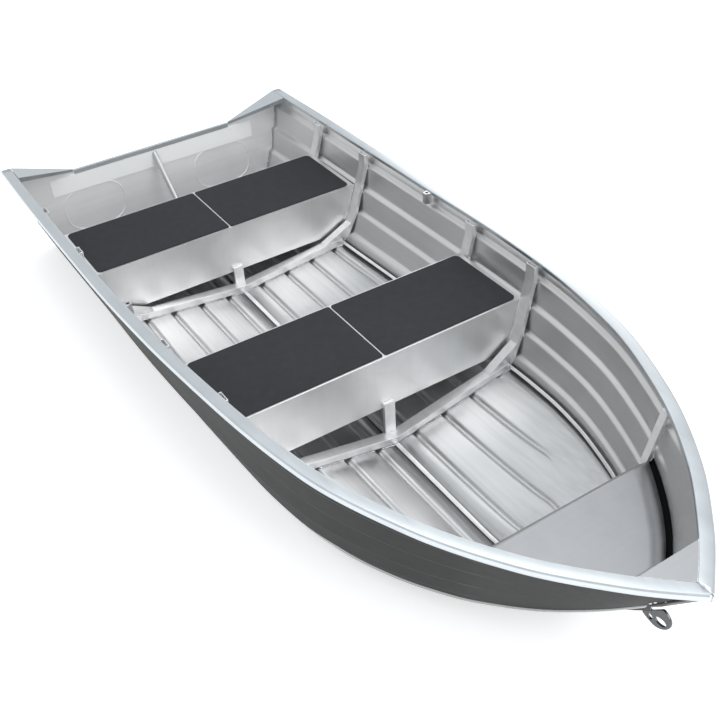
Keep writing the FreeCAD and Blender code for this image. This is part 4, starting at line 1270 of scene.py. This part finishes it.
@dataclass
class Pads:
    """The non-slip sheets on the thwarts, with larger corners outboard."""

    outer_corner: float = 0.022
    inner_corner: float = 0.009
    edge: float = 0.0007
    steps: int = 8

    def outline(self, node_name: str, side: Side) -> Path:
        """Draw the sheet's top outline inside its node's box.

        Args:
            node_name: The pad's node.
            side: The side of the boat that it is on.

        Returns:
            The outline's points.
        """
        low, high = (Vector(corner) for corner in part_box(node_name))
        middle = (low + high) / 2
        points = []
        for x, y, turn in ((high.x, high.y, 0.0), (low.x, high.y, 90.0), (low.x, low.y, 180.0),
                           (high.x, low.y, 270.0)):
            outboard = (y > middle.y) == (side is Side.PORT)
            radius = self.outer_corner if outboard else self.inner_corner
            centre = Vector((x - math.copysign(radius, x - middle.x),
                             y - math.copysign(radius, y - middle.y), high.z))
            for angle in spaced(turn, turn + 90.0, self.steps):
                bend = math.radians(angle)
                points.append(centre + Vector((math.cos(bend), math.sin(bend), 0.0)) * radius)
        return points

    def build(self) -> None:
        """Build the four sheets."""
        for word in ("aft", "mid"):
            for side in Side:
                node = f"pad_{word}_{side.word}"
                low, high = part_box(node)
                sheet = slab(f"grip_sheet_{word}_{side.word}", self.outline(node, side),
                             high[2] - low[2], self.edge)
                finish_piece(sheet, PAD_RUBBER, "pad", node)


def paths_mesh(name: str, paths: list[Path], closed: bool = False) -> bpy.types.Object:
    """Make an object whose edges run along paths.

    Args:
        name: The object's name.
        paths: The lines, in the frame's coordinates.
        closed: Whether each line ends where it starts.

    Returns:
        The new object.
    """
    shape = bmesh.new()
    for path in paths:
        verts = [shape.verts.new(point) for point in path]
        for pair in zip(verts, verts[1:] + (verts[:1] if closed else [])):
            shape.edges.new(pair)
    return object_from(name, shape, outward=False)


def new_tree(name: str, inputs: tuple[tuple[str, str, float | None], ...]) -> bpy.types.NodeTree:
    """Start a Geometry Nodes tree with named inputs.

    Args:
        name: The tree's name.
        inputs: Name, kind and value of each input after the geometry.

    Returns:
        The tree, whose last input is the metal of its pieces.
    """
    tree = bpy.data.node_groups.new(name, "GeometryNodeTree")
    for in_out in ("INPUT", "OUTPUT"):
        tree.interface.new_socket("Geometry", in_out=in_out, socket_type="NodeSocketGeometry")
    for title, kind, value in (*inputs, ("Metal", "Material", None)):
        made = tree.interface.new_socket(title, in_out="INPUT", socket_type=f"NodeSocket{kind}")
        if value is not None:
            made.default_value = value
    return tree


def end_tree(tree: bpy.types.NodeTree, pieces: bpy.types.NodeSocket,
             metal: bpy.types.NodeSocket) -> bpy.types.NodeTree:
    """Make a tree's pieces real, smooth and metal, and put them out.

    Args:
        tree: The tree.
        pieces: The pieces' geometry.
        metal: Their material.

    Returns:
        The tree.
    """
    real = result(tree, "GeometryNodeRealizeInstances", {"Geometry": pieces})
    smooth = result(tree, "GeometryNodeSetShadeSmooth", {"Geometry": real})
    worn = result(tree, "GeometryNodeSetMaterial", {"Geometry": smooth, "Material": metal})
    add_node(tree, "NodeGroupOutput", {"Geometry": worn})
    return tree


def weld_tree() -> bpy.types.NodeTree:
    """Make the tree that lays the overlapping ripples of a weld along paths.

    Returns:
        The tree.
    """
    tree = new_tree("weld_ripples", (("Pitch", "Float", 0.0038), ("Size", "Float", 0.0024),
                                     ("Unevenness", "Float", 0.3), ("Seed", "Int", 5)))
    given = add_node(tree, "NodeGroupInput").outputs
    curve = result(tree, "GeometryNodeMeshToCurve", {"Mesh": given["Geometry"]})
    points = result(tree, "GeometryNodeResampleCurve",
                    {"Curve": curve, "Length": given["Pitch"]}, mode="LENGTH")
    tangent = result(tree, "GeometryNodeInputTangent")
    turn = result(tree, "FunctionNodeAlignRotationToVector", {"Vector": tangent}, axis="X")
    least, most = (reckoned(tree, operation, 1.0, given["Unevenness"])
                   for operation in ("SUBTRACT", "ADD"))
    spread = add_node(tree, "FunctionNodeRandomValue", {2: least, 3: most, "Seed": given["Seed"]},
                      data_type="FLOAT").outputs[1]
    size = reckoned(tree, "MULTIPLY", spread, given["Size"])
    ripple = result(tree, "GeometryNodeMeshUVSphere", {"Segments": 8, "Rings": 5, "Radius": 1.0})
    laid = result(tree, "GeometryNodeInstanceOnPoints",
                  {"Points": points, "Instance": ripple, "Rotation": turn, "Scale": size})
    return end_tree(tree, laid, given["Metal"])


def rim_tree() -> bpy.types.NodeTree:
    """Make the tree that raises a thin pressed rim along closed paths.

    Returns:
        The tree.
    """
    tree = new_tree("pressed_rim", (("Radius", "Float", 0.0018),))
    given = add_node(tree, "NodeGroupInput").outputs
    curve = result(tree, "GeometryNodeMeshToCurve", {"Mesh": given["Geometry"]})
    section = result(tree, "GeometryNodeCurvePrimitiveCircle",
                     {"Resolution": 8, "Radius": given["Radius"]})
    swept = result(tree, "GeometryNodeCurveToMesh", {"Curve": curve, "Profile Curve": section})
    return end_tree(tree, swept, given["Metal"])


def stud_tree() -> bpy.types.NodeTree:
    """Make the tree that sets a domed head on each small face, along its normal.

    Returns:
        The tree.
    """
    tree = new_tree("domed_studs", (("Radius", "Float", 0.006), ("Dome", "Float", 0.55)))
    given = add_node(tree, "NodeGroupInput").outputs
    normal = result(tree, "GeometryNodeInputNormal")
    kept = result(tree, "GeometryNodeStoreNamedAttribute",
                  {"Geometry": given["Geometry"], "Name": "facing", "Value": normal},
                  data_type="FLOAT_VECTOR", domain="FACE")
    spots = result(tree, "GeometryNodeMeshToPoints", {"Mesh": kept}, mode="FACES")
    facing = result(tree, "GeometryNodeInputNamedAttribute", {"Name": "facing"},
                    data_type="FLOAT_VECTOR")
    turn = result(tree, "FunctionNodeAlignRotationToVector", {"Vector": facing}, axis="Z")
    tall = reckoned(tree, "MULTIPLY", given["Radius"], given["Dome"])
    size = result(tree, "ShaderNodeCombineXYZ", {0: given["Radius"], 1: given["Radius"], 2: tall})
    head = result(tree, "GeometryNodeMeshUVSphere", {"Segments": 12, "Rings": 6, "Radius": 1.0})
    laid = result(tree, "GeometryNodeInstanceOnPoints",
                  {"Points": spots, "Instance": head, "Rotation": turn, "Scale": size})
    return end_tree(tree, laid, given["Metal"])


def grown(source: bpy.types.Object, tree: bpy.types.NodeTree, finish: Finish, slot: str,
          **values: float) -> bpy.types.Object:
    """Grow a piece from an object's mesh by a Geometry Nodes tree.

    Args:
        source: The object with the paths or spots, which the piece takes over.
        tree: The tree.
        finish: The piece's finish.
        slot: The record's material slot.
        values: Values of the tree's inputs, by name.

    Returns:
        The piece, a plain mesh.
    """
    grower = source.modifiers.new(tree.name, "NODES")
    grower.node_group = tree
    for item in tree.interface.items_tree:
        if item.in_out == "INPUT" and item.socket_type != "NodeSocketGeometry":
            known = finish.material() if item.name == "Metal" else item.default_value
            grower[item.identifier] = values.get(item.name.lower(), known)
    bpy.context.view_layer.update()
    evaluated = source.evaluated_get(bpy.context.evaluated_depsgraph_get())
    mesh = bpy.data.meshes.new_from_object(evaluated)
    source.modifiers.remove(grower)
    source.data = mesh
    mesh.name = source.name
    return finish_piece(source, finish, slot)


@dataclass
class Welds(SubAssembly):
    """The weld beads that join frames, thwarts, plates and rails.

    A bead's offsets are small steps from the corner that it fills: forward, outboard and up.
    Each thwart is given by its front, its top and its depth.
    """

    pitch: float = 0.0038
    size: float = 0.0024
    bow_size: float = 0.0016
    arm_front: float = 0.0553
    frame_front: float = 0.0503
    frame_middle: float = 0.025
    thwarts: tuple[Row, ...] = ((0.8265, 0.352, 0.222), (2.033, 0.398, 0.229))
    thwart_end_gap: Row = (0.0038, 0.0)
    cut_rise: float = 0.060
    lay: float = 0.0022
    front_lay: float = 0.002
    stern_inset: float = 0.0012
    foot_step: float = 0.0035
    foot_rise: float = 0.02
    first_foot: float = 0.012
    groove_clear: float = 0.004
    shortest: float = 0.01
    breast_shares: Row = (0.9655, 0.993)
    breast_inset: float = 0.0004
    breast_drop: float = 0.0017
    middle_clear: float = 0.001
    mitre_start: float = 0.97
    mitre_breadth: float = 0.002
    mitre_end: float = 0.012
    mitre_drop: float = 0.0021
    tack_step: float = 0.0015
    tack_clear: float = 0.012
    tack: tuple[Row, Row] = ((-0.003, -0.011), (-0.0025, 0.007))
    post_base: float = 0.0345
    post_beads: tuple[tuple[Point, Point], ...] = (
        ((0.0543, -0.004, -0.030), (0.0548, 0.0, -0.004)),
        ((0.0185, -0.023, 0.0), (0.0185, 0.023, 0.0)),
        ((0.0185, 0.0235, 0.0), (0.002, 0.0235, 0.001)))
    head_rise: float = 0.0262
    head_bead: tuple[float, float] = (0.0015, 0.022)

    def thwart_ends(self) -> list[Path]:
        """Trace the upright beads where each front face meets its side frames.

        Returns:
            The port beads.
        """
        paths = []
        for (front, top, depth), gap in zip(self.thwarts, self.thwart_end_gap):
            leg = front + self.frame_middle
            paths.append([Vector((front + self.front_lay,
                                  self.lines.frame_face(leg, height) - gap, height))
                          for height in spaced(top - depth + self.cut_rise, top, 11)])
        return paths

    def feet(self) -> list[Path]:
        """Trace the beads along the floor frames' feet, broken at each groove.

        Returns:
            The port beads.
        """
        lines = self.lines
        paths = []
        for front, _, _ in self.thwarts:
            place = front + self.arm_front + self.foot_step
            share = lines.share_at(place)
            line = lines.bottom_line(share)
            end = lines.frame_face(front + self.frame_middle, lines.chine(share).z + self.foot_rise)
            # A groove takes four points of the line, the first one's from 1 to 4.
            starts = [line[index][0] + self.groove_clear for index in (4, 8, 12, 16)]
            ends = [line[index][0] - self.groove_clear for index in (1, 5, 9, 13)]
            for low, high in zip([self.first_foot] + starts, ends + [end]):
                high = min(high, end)
                if high - low > self.shortest:
                    paths.append([Vector((place, y, lines.floor(place, y) + self.lay))
                                  for y in spaced(low, high, 10)])
        return paths

    def stern_seam(self) -> Path:
        """Return the stepped bead in the corner of transom and side."""
        return [Vector((self.lines.transom_x(z) + self.lay, y - self.stern_inset, z))
                for y, z in self.lines.side_line(0.0)[0]]

    def breast_edges(self) -> Path:
        """Trace the bead beside the breast plate.

        Returns:
            The port bead.
        """
        inset = self.lines.rail_width + self.breast_inset
        side = [self.lines.rail_edge(share, inset, self.breast_drop)
                for share in spaced(*self.breast_shares, 12)]
        return [p for p in side if p.y > self.middle_clear]

    def mitre(self) -> Path:
        """Trace the bead on the centreline where the two rails meet.

        Returns:
            The bead.
        """
        lines = self.lines
        edge = (lines.rail_edge(share, lines.rail_width, 0.0)
                for share in spaced(self.mitre_start, 1.0, 60))
        start = next(p for p in edge if p.y < self.mitre_breadth)
        end = lines.sheer(1.0)
        return [Vector((x, 0.0, end.z - self.mitre_drop))
                for x in spaced(start.x, end.x - self.mitre_end, 10)]

    def frame_tacks(self) -> list[Path]:
        """Trace short tacks where the side frames' edges lie on the hull's ledges.

        Returns:
            The port tacks.
        """
        paths = []
        for front, top, _ in self.thwarts:
            for place in (front + self.frame_front + self.tack_step, front - self.front_lay):
                for index in (1, 3, 5, 7):
                    y, z = self.lines.nose(place, index)
                    if place > front or z > top + self.tack_clear:
                        paths.append([Vector((place, y + out, z + up)) for out, up in self.tack])
        return paths

    def centre_joints(self) -> list[Path]:
        """Trace the beads round each post's foot and head.

        Returns:
            The beads.
        """
        paths = []
        for front, top, depth in self.thwarts:
            base = self.lines.keel(front + self.arm_front) + self.post_base
            paths += [[Vector((front + x, y, base + z)) for x, y, z in bead]
                      for bead in self.post_beads]
            step, half = self.head_bead
            paths.append([Vector((front + step, y, top - depth + self.head_rise))
                          for y in (-half, half)])
        return paths

    def build(self) -> None:
        """Lay the beads, finer ones at the bow."""
        tree = weld_tree()
        hull = self.thwart_ends() + self.feet() + self.frame_tacks() + [self.stern_seam()]
        for name, pairs, single, size in (
                ("weld_beads", hull, self.centre_joints(), self.size),
                ("bow_beads", [self.breast_edges()], [self.mitre()], self.bow_size)):
            paths = [self.framed(path, side) for path in pairs for side in Side]
            paths += [self.framed(path) for path in single]
            grown(paths_mesh(name, paths), tree, WELD_METAL, "extrusion", pitch=self.pitch,
                  size=size)


@dataclass
class TransomOvals(SubAssembly):
    """The two plain pressed ovals on the transom's inner face."""

    middle_breadth: float = 0.342
    middle_height: float = 0.222
    half_width: float = 0.150
    half_height: float = 0.108
    squareness: float = 2.7
    radius: float = 0.0040
    sink: float = 0.0003
    steps: int = 72

    def ring(self, side: Side) -> Path:
        """Draw an oval on the transom's inner face.

        Args:
            side: The side of the boat that it is on.

        Returns:
            Its line, in the frame's coordinates.
        """
        points = []
        for angle in turned(self.steps):
            across, above = (math.copysign(abs(part) ** (2 / self.squareness), part)
                             for part in (math.cos(angle), math.sin(angle)))
            z = self.middle_height + self.half_height * above
            points.append((self.lines.transom_x(z) - self.sink,
                           self.middle_breadth + self.half_width * across, z))
        return self.framed(points, side)

    def build(self) -> None:
        """Raise both rims."""
        rims = paths_mesh("transom_oval_rims", [self.ring(side) for side in Side], closed=True)
        grown(rims, rim_tree(), TRANSOM_SHEET, "hull_sheet", radius=self.radius)


@dataclass
class StemStuds(SubAssembly):
    """The domed heads beside the stem, above the bow eye."""

    places: tuple[Row, ...] = ((3.350, 0.419), (3.362, 0.433), (3.380, 0.437))
    spot: float = 0.002
    stand: float = 0.0022
    step: float = 0.01
    radius: float = 0.005

    def build(self) -> None:
        """Set the heads on both sides."""
        shape = bmesh.new()
        for side in Side:
            for x, z in self.places:
                here, ahead, above = (
                    Vector((at, self.lines.side_breadth(at, height) + self.stand, height))
                    for at, height in ((x, z), (x + self.step, z), (x, z + self.step)))
                along = (ahead - here).normalized() * self.spot
                up = (above - here).normalized() * self.spot
                corners = [here - along - up, here + along - up, here + up * 2]
                face = shape.faces.new([shape.verts.new(p) for p in self.framed(corners, side)])
                face.normal_update()
                if face.normal.y * side.value < 0:
                    face.normal_flip()
        grown(object_from("stem_studs", shape, outward=False), stud_tree(), CAST_METAL,
              "cast_fitting", radius=self.radius)


@dataclass(frozen=True)
class SoftLight:
    """A square area light, with what it is aimed at and its power in watts."""

    name: str
    place: Point
    target: Point
    size: float
    power: float

    def hang(self) -> None:
        """Hang the light."""
        data = bpy.data.lights.new(self.name, "AREA")
        data.shape = "SQUARE"
        data.size = self.size
        data.energy = self.power
        lamp = bpy.data.objects.new(self.name, data)
        aim = (Vector(self.target) - Vector(self.place)).to_track_quat("-Z", "Y")
        lamp.matrix_world = Matrix.Translation(self.place) @ aim.to_matrix().to_4x4()
        bpy.context.scene.collection.objects.link(lamp)


@dataclass
class Studio(SubAssembly):
    """Floor at the waterline, soft light and the camera of the photograph."""

    floor_half: float = 40.0
    floor_glow: float = 0.52
    floor_colour: Row = (0.92, 0.92, 0.92, 1.0)
    floor_roughness: float = 0.9
    low_sky: Row = (0.80, 0.80, 0.80, 1.0)
    high_sky: Row = (0.80, 0.84, 0.87, 1.0)
    sky_top: float = 0.9
    hull_gap: float = 0.002
    hull_end: float = 0.999
    camera_place: Point = (4.447784, -1.553476, 2.650409)
    azimuth_deg: float = 59.07621
    elevation_deg: float = 38.21092
    roll_deg: float = -3.23532
    focal_mm: float = 51.3747
    sensor_mm: float = 36.0
    lights: tuple[SoftLight, ...] = (
        SoftLight("over_light", (0.5, 0.5, 4.5), (0.2, 0.0, 0.0), 3.0, 45.0),
        SoftLight("bow_light", (5.5, 1.5, 3.0), (0.5, 0.0, 0.2), 3.0, 90.0),
        SoftLight("stern_light", (-2.2, 3.6, 2.2), (1.3, -0.1, 0.0), 2.5, 25.0))

    def build_floor(self) -> None:
        """Lay the pale floor with the boat's waterline cut out of it."""
        lines = self.lines
        wet = [(lines.chine(share).x, lines.waterline_breadth(share))
               for share in stations(0.0, self.hull_end, 90)]
        rim = [lines.placed(place, breadth + self.hull_gap, lines.waterline)
               for place, breadth in wet if breadth > 0]
        rim = [Vector((rim[0].x - self.hull_gap, rim[0].y, 0.0))] + rim
        hole = rim + [Vector((p.x, -p.y, p.z)) for p in rim[::-1]]
        half = self.floor_half
        outer = [Vector((x * half, y * half, 0.0)) for x, y in ((-1, -1), (-1, 1), (1, 1),
                                                                (1, -1))]
        shape = bmesh.new()
        edges = []
        for loop in (hole, outer):
            verts = [shape.verts.new(point) for point in loop]
            edges += [shape.edges.new(pair) for pair in zip(verts, verts[1:] + verts[:1])]
        bmesh.ops.triangle_fill(shape, use_beauty=True, use_dissolve=False, edges=edges)
        for face in shape.faces:
            if face.normal.z < 0:
                face.normal_flip()
        floor = object_from("studio_floor", shape, outward=False)
        paint = bpy.data.materials.new("floor_paint")
        paint.use_nodes = True
        shader = paint.node_tree.nodes["Principled BSDF"].inputs
        for name, value in (("Base Color", self.floor_colour), ("Roughness", self.floor_roughness),
                            ("Emission Color", (1.0, 1.0, 1.0, 1.0)),
                            ("Emission Strength", self.floor_glow)):
            shader[name].default_value = value
        floor.data.materials.append(paint)

    def build_sky(self) -> None:
        """Set a plain sky that is brighter overhead."""
        world = bpy.context.scene.world or bpy.data.worlds.new("studio")
        bpy.context.scene.world = world
        world.use_nodes = True
        tree = world.node_tree
        tree.nodes.clear()
        direction = add_node(tree, "ShaderNodeTexCoord").outputs["Generated"]
        height = add_node(tree, "ShaderNodeSeparateXYZ", {0: direction}).outputs["Z"]
        rise = result(tree, "ShaderNodeMapRange",
                      {"Value": height, "From Min": 0.0, "From Max": self.sky_top})
        colour = add_node(tree, "ShaderNodeMix",
                          {"Factor": rise, 6: self.low_sky, 7: self.high_sky},
                          data_type="RGBA").outputs[2]
        sky = result(tree, "ShaderNodeBackground", {"Color": colour, "Strength": 1.0})
        add_node(tree, "ShaderNodeOutputWorld", {"Surface": sky})

    def build_camera(self) -> None:
        """Stand the camera where the photograph was taken."""
        azimuth, elevation, roll = (math.radians(angle) for angle in (
            self.azimuth_deg, self.elevation_deg, self.roll_deg))
        back = Vector((math.sin(azimuth) * math.cos(elevation),
                       -math.cos(azimuth) * math.cos(elevation), math.sin(elevation)))
        level = (-back).cross(Vector((0, 0, 1))).normalized()
        above = level.cross(-back)
        right = level * math.cos(roll) + above * math.sin(roll)
        upward = above * math.cos(roll) - level * math.sin(roll)
        data = bpy.data.cameras.new("photo_camera")
        data.sensor_fit = "HORIZONTAL"
        data.sensor_width = self.sensor_mm
        data.lens = self.focal_mm
        camera = bpy.data.objects.new("photo_camera", data)
        turn = Matrix((right, upward, back)).transposed().to_4x4()
        camera.matrix_world = Matrix.Translation(self.lines.placed(*self.camera_place)) @ turn
        bpy.context.scene.collection.objects.link(camera)
        bpy.context.scene.camera = camera

    def build(self) -> None:
        """Set up the studio."""
        bpy.context.scene.view_settings.view_transform = "Standard"
        self.build_floor()
        self.build_sky()
        for light in self.lights:
            light.hang()
        self.build_camera()


def main() -> None:
    """Build the boat's pieces in order, logging each."""
    logging.basicConfig(level=logging.INFO, format="%(message)s")
    for part in (Plating(), Rails(), BowSheets(), Fittings(), BowEye(), Pads(), Welds(),
                 TransomOvals(), StemStuds(), Studio()):
        LOG.info("building %s", type(part).__name__)
        part.build()


if __name__ == "__main__":
    main()
